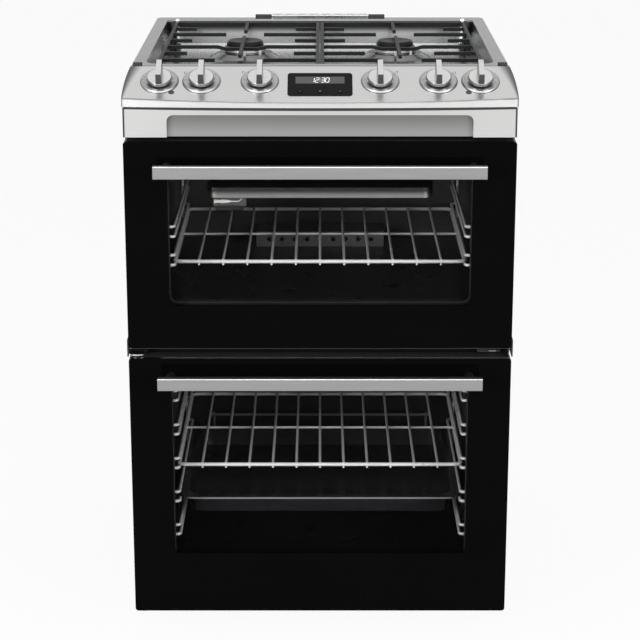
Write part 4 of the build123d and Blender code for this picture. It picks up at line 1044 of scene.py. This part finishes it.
    def fit(self, body: str, finish: Finish, slot: str) -> bpy.types.Object:
        """Finishes the piece.

        Args:
            body: the body that it rides on.
            finish: its finish.
            slot: the record's material slot that it goes with. It is not used.

        Returns:
            The piece.
        """
        self._free()
        dress(self.piece, finish)
        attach(self.piece, body)
        return self.piece


def at(x: float, y: float, z: float) -> Matrix:
    """A move."""
    return Matrix.Translation((x, y, z))


def turn(degrees: float, axis: str) -> Matrix:
    """A turn about an axis through the origin."""
    return Matrix.Rotation(degrees * DEGREE, 4, axis)


TO_REAR = turn(-90, "X")
TO_RIGHT = turn(90, "Y")
TO_LEFT = turn(-90, "Y")


def aim(item: bpy.types.ID, place: Point, target: Point) -> bpy.types.Object:
    """Hangs a lamp or a camera in the scene.

    Args:
        item: the lamp's or camera's data.
        place: where it hangs.
        target: the point that it faces.

    Returns:
        Its object.
    """
    hung = bpy.data.objects.new(item.name, item)
    hung.location = place
    hung.rotation_euler = (Vector(target) - Vector(place)).to_track_quat("-Z", "Y").to_euler()
    bpy.context.scene.collection.objects.link(hung)
    return hung


@dataclass(frozen=True)
class SoftBox:
    """A square lamp: its power in watts, its side, its place and the point that it faces."""

    name: str
    power: float
    size: float
    place: Point
    target: Point

    def build(self) -> None:
        """Hangs the lamp."""
        light = bpy.data.lights.new(self.name, "AREA")
        light.energy = self.power
        light.size = self.size
        aim(light, self.place, self.target)


@dataclass
class Studio:
    """Floor, lamps, background and camera. The air has one tone that lights and one that is seen."""

    eye_distance: float = 3.0
    eye_height: float = 1.40
    aim_height: float = 0.516
    lens: float = 113.8
    sight: float = 100.0
    floor_size: float = 60.0
    floor_tones: Span = (0.80, 0.84)
    floor_seen: float = 0.92
    horizon: Span = (0.60, 0.96)
    zenith: Span = (0.42, 0.44)
    air_edge: Span = (0.2, 0.55)
    boxes: tuple[SoftBox, ...] = (
        SoftBox("top_box", 14.0, 3.0, (0.0, -0.2, 3.3), (0.0, -0.1, 0.5)),
        SoftBox("front_box", 38.0, 1.8, (0.1, -3.6, 3.3), (0.0, 0.0, 0.7)),
        SoftBox("left_box", 85.0, 1.4, (-2.3, -3.0, 1.2), (0.0, 0.0, 0.5)),
        SoftBox("right_box", 64.0, 1.4, (2.4, -2.8, 1.1), (0.0, 0.0, 0.5)))

    def build(self) -> None:
        """Sets up the whole studio."""
        self.floor()
        self.world()
        for box in self.boxes:
            box.build()
        self.camera()
        bpy.context.scene.view_settings.view_transform = "Standard"

    @staticmethod
    def seen(recipe: Recipe) -> Value:
        """Finds what the camera sees, also in metal and through glass.

        Args:
            recipe: the recipe that it is for.

        Returns:
            1 for what is seen, else 0.
        """
        rays = ("Is Camera Ray", "Is Glossy Ray", "Is Transmission Ray")
        camera, glossy, through = (recipe.node("ShaderNodeLightPath", output=ray) for ray in rays)
        return (camera + glossy + through) > 0.5

    def floor(self) -> None:
        """A pale floor that keeps a soft shadow."""
        bpy.ops.mesh.primitive_plane_add(size=self.floor_size)
        floor = bpy.context.object
        floor.name = "studio_floor"
        material = bpy.data.materials.new("studio_floor")
        recipe = Recipe(material)
        tone = recipe.mix(recipe.noise(scale=0.6, detail=2.0), *(grey(level) for level in self.floor_tones))
        pale = recipe.node("ShaderNodeBsdfDiffuse", None, {"Color": tone})
        white = recipe.node("ShaderNodeEmission", None, {"Color": grey(1.0), "Strength": 1.0})
        share = self.seen(recipe) * self.floor_seen
        both = recipe.node("ShaderNodeMixShader", None, {0: share, 1: pale, 2: white})
        recipe.node("ShaderNodeOutputMaterial", None, {"Surface": both})
        floor.data.materials.append(material)

    def world(self) -> None:
        """White round the horizon and greyer overhead."""
        world = bpy.data.worlds.new("studio_air")
        bpy.context.scene.world = world
        recipe = Recipe(world)
        height = recipe.split(recipe.node("ShaderNodeTexCoord", output="Generated"))[2]
        seen = self.seen(recipe)
        low, high = (lit + seen * (shown - lit) for lit, shown in (self.horizon, self.zenith))
        strength = low + (high - low) * height.ramp(*self.air_edge)
        air = recipe.node("ShaderNodeBackground", None, {"Color": grey(1.0), "Strength": strength})
        recipe.node("ShaderNodeOutputWorld", None, {"Surface": air})

    def camera(self) -> None:
        """A long lens in front of the doors, looking a little down."""
        camera = bpy.data.cameras.new("studio_camera")
        camera.lens = self.lens
        camera.clip_end = self.sight
        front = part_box("lower_door_glass")[0].y
        eye = (0.0, front - self.eye_distance, self.eye_height)
        bpy.context.scene.camera = aim(camera, eye, (0.0, front, self.aim_height))


@dataclass
class Casing:
    """Side panels, back, base, feet and front frame, with their screws and nuts."""

    screw_radius: float = 3.6 * MM
    screw_head: float = 0.9 * MM
    screw_dome: float = 0.5 * MM
    screw_taper: float = 0.66
    screw_rim: float = 1.08 * MM
    screw_socket: float = 0.8 * MM
    screw_rows: tuple[float, ...] = (0.07, 0.30, 0.54, 0.80)
    edge_inset: float = 8.5 * MM
    foot_radius: float = 17.0 * MM
    nut_radius: float = 10.0 * MM
    nut_height: float = 5.0 * MM
    nut_rise: float = 15.5 * MM
    nut_rim: float = 1.4 * MM
    nut_dome: float = 1.12
    entry_radius: float = 9.0 * MM
    entry_height: float = 5.0 * MM
    entry_drop: float = 1.0 * MM
    entry_lips: Span = (1.2 * MM, 1.6 * MM)
    entry_steps: Span = (-2.0 * MM, 4.0 * MM)
    entry_taper: float = 0.86
    rail_height: float = 1.6 * MM
    rail_half: float = 0.262
    rail_reach: float = 6.0 * MM
    rail_lip: float = 0.4 * MM
    rail_bead: float = 0.8 * MM
    seat: float = 0.2 * MM

    def dress(self) -> None:
        """Finishes of the casing."""
        paint(Finishes.casing, "right_side_panel", "left_side_panel")
        paint(Finishes.zinc, "back_panel", "base_tray")
        paint(Finishes.face, "front_frame")
        paint(Finishes.plastic, "levelling_feet", "hinge_caps", "terminal_cover")
        paint(Finishes.trim, "door_hinges")

    def build(self) -> None:
        """Models the small fittings."""
        inset = self.edge_inset
        low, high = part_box("back_panel")
        columns = (low.x + inset, high.x - inset)
        self.screws("back_screws", [at(x, high.y, z) @ TO_REAR for x in columns for z in self.screw_rows])
        low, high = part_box("terminal_cover")
        columns = (low.x + 2 * inset, high.x - 2 * inset)
        self.screws("terminal_screws", [at(x, high.y, (low.z + high.z) / 2) @ TO_REAR for x in columns])
        for side, outwards, corner in (("right", TO_RIGHT, 1), ("left", TO_LEFT, 0)):
            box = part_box(f"{side}_side_panel")
            places = [at(box[corner].x, box[1].y - inset, z) @ outwards for z in self.screw_rows]
            self.screws(f"{side}_side_screws", places)
        self.nuts()
        self.cable_entry()
        self.gap_rail()

    def screws(self, name: str, places: Sequence[Matrix]) -> None:
        """One domed screw head with a round socket, repeated.

        Args:
            name: the piece's name.
            places: where the heads sit, with local z out of the sheet.
        """
        bench = Bench(name).disc(self.screw_radius, self.screw_head, sides=18)
        bench.pick(Facing.UP).grow(self.screw_dome, self.screw_taper)
        bench.inset(self.screw_rim).grow(-self.screw_socket).close()
        bench.smooth().copies(places).fit("casing", Finishes.screw, "zinc_sheet")

    def nuts(self) -> None:
        """A lock nut on each foot."""
        bench = Bench("foot_nuts").disc(self.nut_radius, self.nut_height, sides=6)
        bench.pick(Facing.UP, Facing.DOWN).inset(self.nut_rim).resize((1.0, 1.0, self.nut_dome)).close()
        low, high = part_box("levelling_feet")
        columns = (low.x + self.foot_radius, high.x - self.foot_radius)
        rows = (low.y + self.foot_radius, high.y - self.foot_radius)
        places = [at(x, y, self.nut_rise) for x in columns for y in rows]
        bench.copies(places).fit("casing", Finishes.screw, "zinc_sheet")

    def cable_entry(self) -> None:
        """The soft cable entry under the terminal cover."""
        low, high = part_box("terminal_cover")
        outer_lip, inner_lip = self.entry_lips
        lower, bore = self.entry_steps
        bench = Bench("cable_entry").disc(self.entry_radius, self.entry_height, sides=28)
        bench.pick(Facing.DOWN).inset(outer_lip).grow(lower, self.entry_taper)
        bench.inset(inner_lip).grow(bore).close()
        middle = (low + high) / 2
        place = at(middle.x, middle.y, low.z - self.entry_drop)
        bench.smooth().move(place).fit("casing", Finishes.rubber, "seal_rubber")

    def gap_rail(self) -> None:
        """The pale rail that shows in the gap between the doors."""
        frame_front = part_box("front_frame")[0].y
        gap = (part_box("lower_door_glass")[1].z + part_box("upper_door_glass")[0].z) / 2
        low = (-self.rail_half, frame_front - self.rail_reach, gap - self.rail_height / 2)
        high = (self.rail_half, frame_front + self.seat, gap + self.rail_height / 2)
        bench = Bench("door_gap_rail").block(low, high)
        bench.pick(Facing.FRONT).inset(self.rail_lip).extrude((0, -self.rail_bead, 0)).close()
        bench.fit("casing", Finishes.rail, "brushed_steel")


@dataclass
class Ovens:
    """The two ovens and what stands in them, with the grill's igniter and the ends of the shelves' bars."""

    igniter_place: Span = (8.0 * MM, 20.0 * MM)
    plate: float = 1.2 * MM
    plate_width: float = 52.0 * MM
    plate_height: float = 17.0 * MM
    plate_bends: tuple[Point, ...] = ((0.0, -9.0 * MM, -5.0 * MM), (0.0, -4.0 * MM, 0.0))
    plate_taper: Point = (0.8, 1.0, 1.0)
    insulator_radius: float = 3.4 * MM
    insulator_length: float = 26.0 * MM
    insulator_start: float = 2.0 * MM
    insulator_drop: float = 9.35 * MM
    insulator_foot: Span = (0.35, 0.7)
    insulator_collars: tuple[Span, ...] = ((0.1, 1.43), (0.3, 0.8), (0.25, 0.6))
    tip_radius: float = 0.9 * MM
    tip_length: float = 32.5 * MM
    tip_bends: tuple[Point, ...] = (
        (0.0, 0.0, 6.0 * MM), (-3.5 * MM, 0.0, 4.0 * MM), (-3.5 * MM, 0.0, 1.5 * MM))
    shelf_bars: int = 11
    shelf_wire: float = 3.0 * MM
    bar_radius: float = 1.7 * MM
    bar_drop: float = 2.4 * MM
    bar_tip: Span = (0.68 * MM, 0.6)

    def dress(self) -> None:
        """Finishes inside the ovens."""
        paint(Finishes.upper_oven, "upper_cavity")
        paint(Finishes.lower_oven, "lower_cavity")
        paint(Finishes.cover, "oven_burner_covers")
        paint(Finishes.rubber, "door_seals")
        paint(Finishes.wire, "lower_side_racks", "upper_side_racks", "lower_shelf", "upper_shelf")
        paint(Finishes.tray, "roasting_tray")
        paint(Finishes.grill, "grill_burner")
        paint(Finishes.tube, "oven_burners")

    def build(self) -> None:
        """Models the igniter under the left of the grill burner, and the ends of the shelves' bars."""
        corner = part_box("grill_burner")[0] + Vector((*self.igniter_place, 0))
        self.bracket(corner)
        self.insulator(corner)
        self.bar_ends("upper_shelf", "top_shelf")
        self.bar_ends("lower_shelf", "main_shelf")

    def bracket(self, corner: Vector) -> None:
        """A bent plate that hangs from the burner.

        Args:
            corner: the plate's left front corner, at its top.
        """
        foot = corner - Vector((0, 0, self.plate_height))
        top = corner + Vector((self.plate_width, self.plate, 0))
        first, second = self.plate_bends
        bench = Bench("igniter_bracket").block(foot, top)
        bench.pick(Facing.DOWN).extrude(first).resize(self.plate_taper).extrude(second).close()
        bench.fit("casing", Finishes.bracket, "zinc_sheet")

    def insulator(self, corner: Vector) -> None:
        """A collared ceramic rod along the plate, with a bent wire tip.

        Args:
            corner: the plate's left front corner, at its top.
        """
        start = corner + Vector((self.insulator_start, -self.insulator_radius, -self.insulator_drop))
        place = Matrix.Translation(start) @ TO_RIGHT
        foot, neck = self.insulator_foot
        bench = Bench("igniter_insulator").disc(self.insulator_radius, self.insulator_length * foot, sides=20)
        bench.pick(Facing.UP).resize((neck, neck, 1.0))
        for share, factor in self.insulator_collars:
            bench.grow(self.insulator_length * share, factor)
        bench.close().smooth().move(place).fit("casing", Finishes.ceramic, "ceramic")
        tip = Bench("igniter_tip").disc(self.tip_radius, self.tip_length, sides=10).pick(Facing.UP)
        for bend in self.tip_bends:
            tip.extrude(bend)
        tip.close().smooth(angle=50.0).move(place).fit("casing", Finishes.wire, "chrome_wire")

    def bar_ends(self, shelf: str, body: str) -> None:
        """The ends of a shelf's bars, turned down under its front rail.

        Args:
            shelf: the shelf's node.
            body: the shelf's body.
        """
        low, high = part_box(shelf)
        half = high.x - self.shelf_wire
        pitch = 2 * half / (self.shelf_bars + 1)
        tip, taper = self.bar_tip
        bench = Bench(f"{shelf}_bar_ends").disc(self.bar_radius, self.shelf_wire, sides=12)
        bench.pick(Facing.DOWN).grow(-self.bar_drop).grow(-tip, taper).close()
        steps = range(1, self.shelf_bars + 1)
        places = [at(pitch * step - half, low.y + self.shelf_wire, low.z) for step in steps]
        bench.smooth().copies(places).fit(body, Finishes.wire, "chrome_wire")


@dataclass
class Doors:
    """Both oven doors, with the trims on their glass edges and the catch in the gap."""

    edge: float = 0.45 * MM
    edge_inset: float = 2.0 * MM
    edge_back: float = 0.4 * MM
    edge_taper: Point = (1.0, 0.6, 0.8)
    hinge_length: float = 50.0 * MM
    catch_length: float = 36.0 * MM
    catch_height: float = 4.6 * MM
    catch_inset: float = 15.0 * MM
    catch_reach: float = 16.0 * MM
    catch_rise: float = 1.5 * MM
    catch_lip: float = 0.9 * MM
    nose: float = 2.0 * MM
    nose_taper: Point = (0.9, 1.0, 0.7)
    seat: float = 0.2 * MM
    roller_radius: float = 2.2 * MM
    roller_length: float = 10.8 * MM
    roller_lip: float = 0.5 * MM
    roller_dome: float = 1.1
    roller_reach: float = 1.0 * MM

    def dress(self) -> None:
        """Finishes of the doors."""
        paint(Finishes.upper_glass, "upper_door_glass")
        paint(Finishes.lower_glass, "lower_door_glass")
        paint(Finishes.inner_glass, "upper_door_inner_glass", "lower_door_inner_glass")
        paint(Finishes.door_pan, "upper_door_pan", "lower_door_pan")
        paint(Finishes.upper_handle, "upper_door_handle")
        paint(Finishes.lower_handle, "lower_door_handle")

    def build(self) -> None:
        """Models the trims and the catch."""
        low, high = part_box("lower_door_glass")
        self.trim("lower", low.x + self.hinge_length, high.z)
        low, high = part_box("upper_door_glass")
        self.trim("upper", low.x + self.edge_inset, low.z - self.edge)
        self.catch()

    def trim(self, door: str, start: float, foot: float) -> None:
        """A thin bright strip along a glass edge.

        Args:
            door: the door, upper or lower.
            start: the strip's left end.
            foot: its lower side.
        """
        low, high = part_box(f"{door}_door_glass")
        end = (high.x - self.edge_inset, high.y, foot + self.edge)
        bench = Bench(f"{door}_glass_edge").block((start, low.y + self.edge_back, foot), end)
        bench.pick(Facing.LEFT, Facing.RIGHT).resize(self.edge_taper).close()
        bench.fit(f"{door}_door", Finishes.trim, "brushed_steel")

    def catch(self) -> None:
        """The dark catch block of the lower door, with its roller."""
        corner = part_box("lower_door_glass")[1]
        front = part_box("front_frame")[0].y
        right = corner.x - self.catch_inset
        low = Vector((right - self.catch_length, front - self.catch_reach, corner.z + self.catch_rise))
        high = Vector((right, front + self.seat, low.z + self.catch_height))
        bench = Bench("door_catch").block(low, high)
        bench.pick(Facing.FRONT).inset(self.catch_lip).extrude((0, -self.nose, 0)).resize(self.nose_taper)
        bench.close().fit("casing", Finishes.plastic, "black_plastic")
        middle = (low + high) / 2
        place = at(middle.x, low.y - self.roller_reach, middle.z) @ TO_RIGHT
        roller = Bench("catch_roller").disc(self.roller_radius, self.roller_length, sides=16)
        roller.pick(Facing.UP, Facing.DOWN).inset(self.roller_lip).resize((1.0, 1.0, self.roller_dome))
        roller.close().smooth().move(place).fit("casing", Finishes.screw, "chrome_wire")


@dataclass
class Hob:
    """The hob with its burners and pan supports, and the turned rings on the burner caps."""

    burner_x: float = 127.0 * MM
    front_row: float = -120.5 * MM
    rear_row: float = 151.5 * MM
    large_cap: float = 53.0 * MM
    small_cap: float = 22.0 * MM
    medium_cap: float = 31.0 * MM
    ring_radii: tuple[float, ...] = (0.62, 0.63116, 0.678395, 0.705531)
    ring_sink: float = 1.9 * MM
    ring_height: float = 1.0 * MM

    def dress(self) -> None:
        """Finishes of the hob."""
        paint(Finishes.hob, "hob_panel")
        paint(Finishes.burner, "burner_cups", "burner_heads")
        paint(Finishes.cap, "burner_caps")
        paint(Finishes.ceramic, "burner_electrodes")
        paint(Finishes.iron, "left_pan_support", "right_pan_support")
        paint(Finishes.trim, "flue_outlet")
        paint(Finishes.rubber, "lid_buffers")

    def build(self) -> None:
        """Models one turned ring for a cap of radius 1 and sets a copy on each cap, at the cap's width."""
        heights = (0.0, self.ring_height, self.ring_height, 0.0)
        bench = Bench("cap_rings").turned(list(zip(self.ring_radii, heights)), sides=72)
        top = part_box("burner_caps")[1].z - self.ring_sink
        left, right = -self.burner_x, self.burner_x
        caps = (
            (left, self.front_row, self.large_cap), (right, self.front_row, self.small_cap),
            (left, self.rear_row, self.medium_cap), (right, self.rear_row, self.medium_cap))
        places = [at(x, y, top) @ Matrix.Diagonal((cap, cap, 1.0, 1.0)) for x, y, cap in caps]
        bench.smooth().copies(places).fit("casing", Finishes.cap, "black_enamel")


class Bar(Enum):
    """A bar of a clock digit: its middle in half widths and half heights, and whether it stands upright."""

    TOP = (0.0, 1.0, False)
    MIDDLE = (0.0, 0.0, False)
    FOOT = (0.0, -1.0, False)
    TOP_LEFT = (-1.0, 0.5, True)
    TOP_RIGHT = (1.0, 0.5, True)
    FOOT_LEFT = (-1.0, -0.5, True)
    FOOT_RIGHT = (1.0, -0.5, True)


DIGITS = {
    "0": (Bar.TOP, Bar.FOOT, Bar.TOP_LEFT, Bar.TOP_RIGHT, Bar.FOOT_LEFT, Bar.FOOT_RIGHT),
    "1": (Bar.TOP_RIGHT, Bar.FOOT_RIGHT),
    "2": (Bar.TOP, Bar.MIDDLE, Bar.FOOT, Bar.TOP_RIGHT, Bar.FOOT_LEFT),
    "3": (Bar.TOP, Bar.MIDDLE, Bar.FOOT, Bar.TOP_RIGHT, Bar.FOOT_RIGHT),
}


@dataclass
class Controls:
    """The fascia with its knobs, clock and printed marks."""

    bezel_inner: float = 20.0 * MM
    bezel_outer: float = 28.5 * MM
    bezel_brow: float = 27.0 * MM
    bezel_height: float = 3.0 * MM
    bezel_dish: float = 0.75
    gasket_width: float = 0.7 * MM
    gasket_height: float = 0.4 * MM
    gasket_edge: float = 0.21 * MM
    print_height: float = 0.10 * MM
    print_foot: float = 0.06 * MM
    print_rim: float = 0.04 * MM
    print_sink: float = 0.03 * MM
    dot_taper: Point = (0.86, 0.86, 1.0)
    bar_taper: Point = (0.8, 0.95, 1.0)
    mark_radius: float = 23.6 * MM
    mark_tilt: float = 6.1
    mark_sink: float = 0.36 * MM
    tick: Span = (0.7 * MM, 3.4 * MM)
    tick_angles: tuple[float, ...] = (-45.0, 60.0, 150.0)
    dot_angles: tuple[float, ...] = (0.0, -90.0)
    dot_radius: float = 0.9 * MM
    burner_dots: Span = (0.63 * MM, 1.125 * MM)
    dot_pitch: float = 3.0 * MM
    icon_place: Span = (25.0 * MM, 20.5 * MM)
    sign_radius: float = 4.6 * MM
    sign_place: Span = (19.0 * MM, -26.0 * MM)
    sign_rings: Span = (1.38 * MM, 1.15 * MM)
    dial_count: int = 9
    dial_start: float = 15.0
    dial_step: float = 30.0
    dial_height: float = 3.6 * MM
    clock_text: str = "1230"
    clock_half: Span = (2.5 * MM, 5.2 * MM)
    clock_places: tuple[float, ...] = (-11.2 * MM, -4.4 * MM, 4.4 * MM, 11.2 * MM)
    clock_lean: float = 0.12
    clock_bar: float = 0.8 * MM
    clock_gap: float = 0.88 * MM
    colon_radius: float = 0.48 * MM
    colon_up: float = 2.34 * MM
    strip_half: Span = (37.0 * MM, 8.0 * MM)
    strip_up: float = 10.0 * MM
    strip_foot: float = 0.05 * MM
    strip_lip: float = 1.2 * MM
    button_sign: Span = (0.6 * MM, 3.2 * MM)
    button_ring: float = 0.384 * MM

    def __post_init__(self) -> None:
        """Finds the fascia's slope: x across, y up the slope, z out, from the middle of the knobs' line."""
        turns = {joint["child"]: joint for joint in frame["joints"] if joint["name"].endswith("_turn")}
        self.knob_places = [turns[f"knob_{number}"]["pos_m"][0] for number in KNOBS]
        self.hob_knobs = self.knob_places[1:-1]
        self.oven_knobs = (self.knob_places[0], self.knob_places[-1])
        _, y, z = turns["knob_1"]["pos_m"]
        normal = Vector(turns["knob_1"]["axis"])
        across = Vector((1, 0, 0))
        axes = Matrix((across, normal.cross(across), normal)).transposed()
        self.slope = at(0, y, z) @ axes.to_4x4()

    def dress(self) -> None:
        """Finishes of the controls."""
        paint(Finishes.fascia, "control_fascia")
        paint(Finishes.vent, "vent_strip")
        paint(Finishes.display, "display_window", "display_housing")
        paint(Finishes.display, *(f"timer_button_{place}" for place in ("left", "middle", "right")))
        for number in KNOBS:
            paint(Finishes.knob, f"control_knob_{number}")
            paint(Finishes.brass, f"tap_spindle_{number}")

    def build(self) -> None:
        """Models the bezels, the marks and the clock."""
        self.bezels()
        self.gaskets()
        self.burner_icons()
        self.oven_icons()
        self.bezel_marks()
        self.dial_numbers()
        self.clock()
        self.button_signs()

    def on_slope(self, node: str) -> tuple[Vector, float]:
        """Where a node lies on the slope.

        Args:
            node: the node.

        Returns:
            Its middle in the slope's own axes, and the height of its top over the slope.
        """
        low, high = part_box(node)
        inverse = self.slope.inverted()
        lift = max((inverse @ vertex.co).z for vertex in frame["nodes"][node].data.vertices)
        return inverse @ ((low + high) / 2), lift

    def stuck(self, x: float, up: float, lift: float = 0.0) -> Matrix:
        """A place on the slope."""
        return self.slope @ at(x, up, lift)

    def round_knob(self, x: float, angle: float) -> Matrix:
        """A place on a knob's bezel.

        Args:
            x: the knob's place across.
            angle: degrees clockwise from the top.

        Returns:
            The place, with local y outwards.
        """
        lift = self.on_slope("knob_bezels")[1] - self.mark_sink
        outwards = at(0, self.mark_radius, lift) @ turn(self.mark_tilt, "X")
        return self.stuck(x, 0) @ turn(-angle, "Z") @ outwards

    def bezels(self) -> None:
        """The dished rings round the knobs, turned much finer than the frame's."""
        inner, outer, high = self.bezel_inner, self.bezel_outer, self.bezel_height
        profile = [
            (inner, 0.0), (outer, 0.0), (outer, high / 2), (self.bezel_brow, high),
            (inner, high * self.bezel_dish), (inner, 0.0)]
        bench = Bench("bezel_rings").turned(profile, sides=120)
        places = [self.stuck(x, 0) for x in self.knob_places]
        piece = bench.smooth(angle=30.0).copies(places).fit("casing", Finishes.bezel, "knob_metal")
        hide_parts("knob_bezels")

    def gaskets(self) -> None:
        """A thin dark rubber ring round each bezel, which also stands in as painted shadow for the shadow gap at
        the bezel's foot.
        """
        inner, high = self.bezel_outer, self.gasket_height
        outer = inner + self.gasket_width
        brow = outer - self.gasket_edge
        profile = [(inner, 0.0), (outer, 0.0), (brow, high), (inner, high), (inner, 0.0)]
        bench = Bench("bezel_gasket_shadow_rings").turned(profile, sides=96)
        places = [self.stuck(x, 0) for x in self.knob_places]
        bench.smooth(angle=30.0).copies(places).fit("casing", Finishes.rubber, "seal_rubber")

    def dot(self, name: str, radius: float) -> Bench:
        """A printed dot with a soft rim."""
        bench = Bench(name).disc(radius, self.print_foot, sides=16).pick(Facing.UP)
        return bench.grow(self.print_rim).resize(self.dot_taper).close()

    def bar(self, name: str, width: float, length: float) -> Bench:
        """A printed bar along local y with a soft rim.

        Args:
            name: the piece's name.
            width: its width.
            length: its length.

        Returns:
            The bench.
        """
        corner = Vector((width / 2, length / 2, 0))
        bench = Bench(name).block(-corner, corner + Vector((0, 0, self.print_foot))).pick(Facing.UP)
        return bench.grow(self.print_rim).resize(self.bar_taper).close()

    @staticmethod
    def printed(bench: Bench, places: Sequence[Matrix]) -> None:
        """Prints a mark on the casing at each place."""
        bench.copies(places).fit("casing", Finishes.ink, "black_plastic")

    def burner_icons(self) -> None:
        """Four dots by each hob knob, with the knob's own burner drawn larger."""
        across, up = self.icon_place
        half = self.dot_pitch / 2
        corners = [(-1, -1), (-1, 1), (1, -1), (1, 1)]
        owners = zip(self.hob_knobs, (-1, -1, 1, 1), ((-1, -1), (-1, 1), (1, 1), (1, -1)))
        small, large = [], []
        for x, side, own in owners:
            for corner in corners:
                place = self.stuck(x + side * across + corner[0] * half, up + corner[1] * half)
                (large if corner == own else small).append(place)
        small_dot, large_dot = self.burner_dots
        self.printed(self.dot("burner_dots", small_dot), small)
        self.printed(self.dot("own_burner_dots", large_dot), large)

    def oven_icons(self) -> None:
        """A ringed sign below each oven knob."""
        across, up = self.sign_place
        outer, inner = self.sign_rings
        bench = Bench("oven_signs").disc(self.sign_radius, self.print_foot, sides=28).pick(Facing.UP)
        bench.inset(outer).grow(-self.print_sink).inset(inner).grow(self.print_rim).close()
        first, last = self.oven_knobs
        self.printed(bench, [self.stuck(x, up) for x in (first + across, last - across)])

    def bezel_marks(self) -> None:
        """Setting ticks on the four hob bezels, and dots on all six."""
        ticks = [self.round_knob(x, angle) for x in self.hob_knobs for angle in self.tick_angles]
        dots = [self.round_knob(x, angle) for x in self.knob_places for angle in self.dot_angles]
        self.printed(self.bar("setting_ticks", *self.tick), ticks)
        self.printed(self.dot("setting_dots", self.dot_radius), dots)

    def dial_numbers(self) -> None:
        """Plain numbers round the two oven bezels."""
        for number in range(1, self.dial_count + 1):
            angle = number * self.dial_step + self.dial_start
            places = [self.round_knob(x, angle) for x in self.oven_knobs]
            name = f"dial_number_{number}"
            self.printed(Bench(name).words(str(number), self.dial_height, self.print_height), places)

    def clock(self) -> None:
        """The clock's pale strip and its lit digits."""
        middle, lift = self.on_slope("display_window")
        corner = Vector((*self.strip_half, 0))
        up = middle.y + self.strip_up
        strip = Bench("clock_strip").block(-corner, corner + Vector((0, 0, self.strip_foot)))
        strip.pick(Facing.UP).inset(self.strip_lip).grow(self.print_sink).close()
        strip.move(self.stuck(0, up, lift)).fit("casing", Finishes.strip, "display_glass")
        lean = Matrix.Identity(4)
        lean[0][1] = self.clock_lean
        base = self.stuck(0, up, lift + self.strip_foot + self.print_sink) @ lean
        half_wide, half_tall = self.clock_half
        bars = []
        for digit, place in zip(self.clock_text, self.clock_places):
            for bar in DIGITS[digit]:
                x, y, upright = bar.value
                length = (half_tall if upright else 2 * half_wide) - self.clock_gap
                stretch = Matrix.Diagonal((1.0, length / half_tall, 1.0, 1.0))
                spot = base @ at(place + x * half_wide, y * half_tall, 0)
                bars.append(spot @ turn(0 if upright else 90, "Z") @ stretch)
        bench = self.bar("clock_digits", self.clock_bar, half_tall)
        bench.copies(bars).fit("casing", Finishes.digits, "display_glass")
        colon = [base @ at(0, y, 0) for y in (-self.colon_up, self.colon_up)]
        bench = self.dot("clock_colon", self.colon_radius)
        bench.copies(colon).fit("casing", Finishes.digits, "display_glass")

    def button_signs(self) -> None:
        """A minus, a ring and a plus on the three timer buttons."""
        width, length = self.button_sign
        for place in ("left", "middle", "right"):
            middle, lift = self.on_slope(f"timer_button_{place}")
            spot = self.stuck(middle.x, middle.y, lift)
            across = spot @ turn(90, "Z")
            name = f"button_sign_{place}"
            if place == "middle":
                bench = Bench(name).disc(length / 2, self.print_foot, sides=24).pick(Facing.UP)
                bench.inset(self.button_ring).grow(-self.print_sink).close().move(spot)
            else:
                bench = self.bar(name, width, length).copies([across] if place == "left" else [across, spot])
            bench.fit(f"button_{place}", Finishes.mark, "display_glass")


@dataclass
class GasFittings:
    """Taps, pipes and the inlet with its thread."""

    thread_core: float = 10.3 * MM
    thread_crest: float = 10.8 * MM
    thread_pitch: float = 1.8 * MM
    thread_turns: int = 9
    thread_inset: float = 0.8 * MM

    def dress(self) -> None:
        """Finishes of the gas fittings."""
        paint(Finishes.brass, "gas_taps", "gas_inlet")
        paint(Finishes.tube, "gas_pipework")

    def build(self) -> None:
        """Models the ridges of the inlet's thread."""
        mount = next(mount for mount in frame["record"]["mounts"] if mount["name"] == "gas_inlet")
        x, _, z = mount["pos_m"]
        core, crest, pitch = self.thread_core, self.thread_crest, self.thread_pitch
        length = self.thread_turns * pitch
        ridges = [(core, 0.0), (crest, 0.0)]
        for number in range(self.thread_turns):
            ridges += [(core, (number + 0.5) * pitch), (crest, (number + 1) * pitch)]
        bench = Bench("inlet_thread").turned([*ridges, (core, length)], sides=36)
        place = at(x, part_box("gas_inlet")[1].y - length - self.thread_inset, z) @ TO_REAR
        bench.smooth(angle=20.0).move(place).fit("casing", Finishes.brass, "tap_brass")


def main() -> None:
    """Builds the studio and every sub-assembly in order."""
    logging.basicConfig(level=logging.INFO, format="%(name)s: %(message)s")
    Studio().build()
    for part in (Casing(), Ovens(), Doors(), Hob(), Controls(), GasFittings()):
        part.dress()
        part.build()


if __name__ == "__main__":
    main()
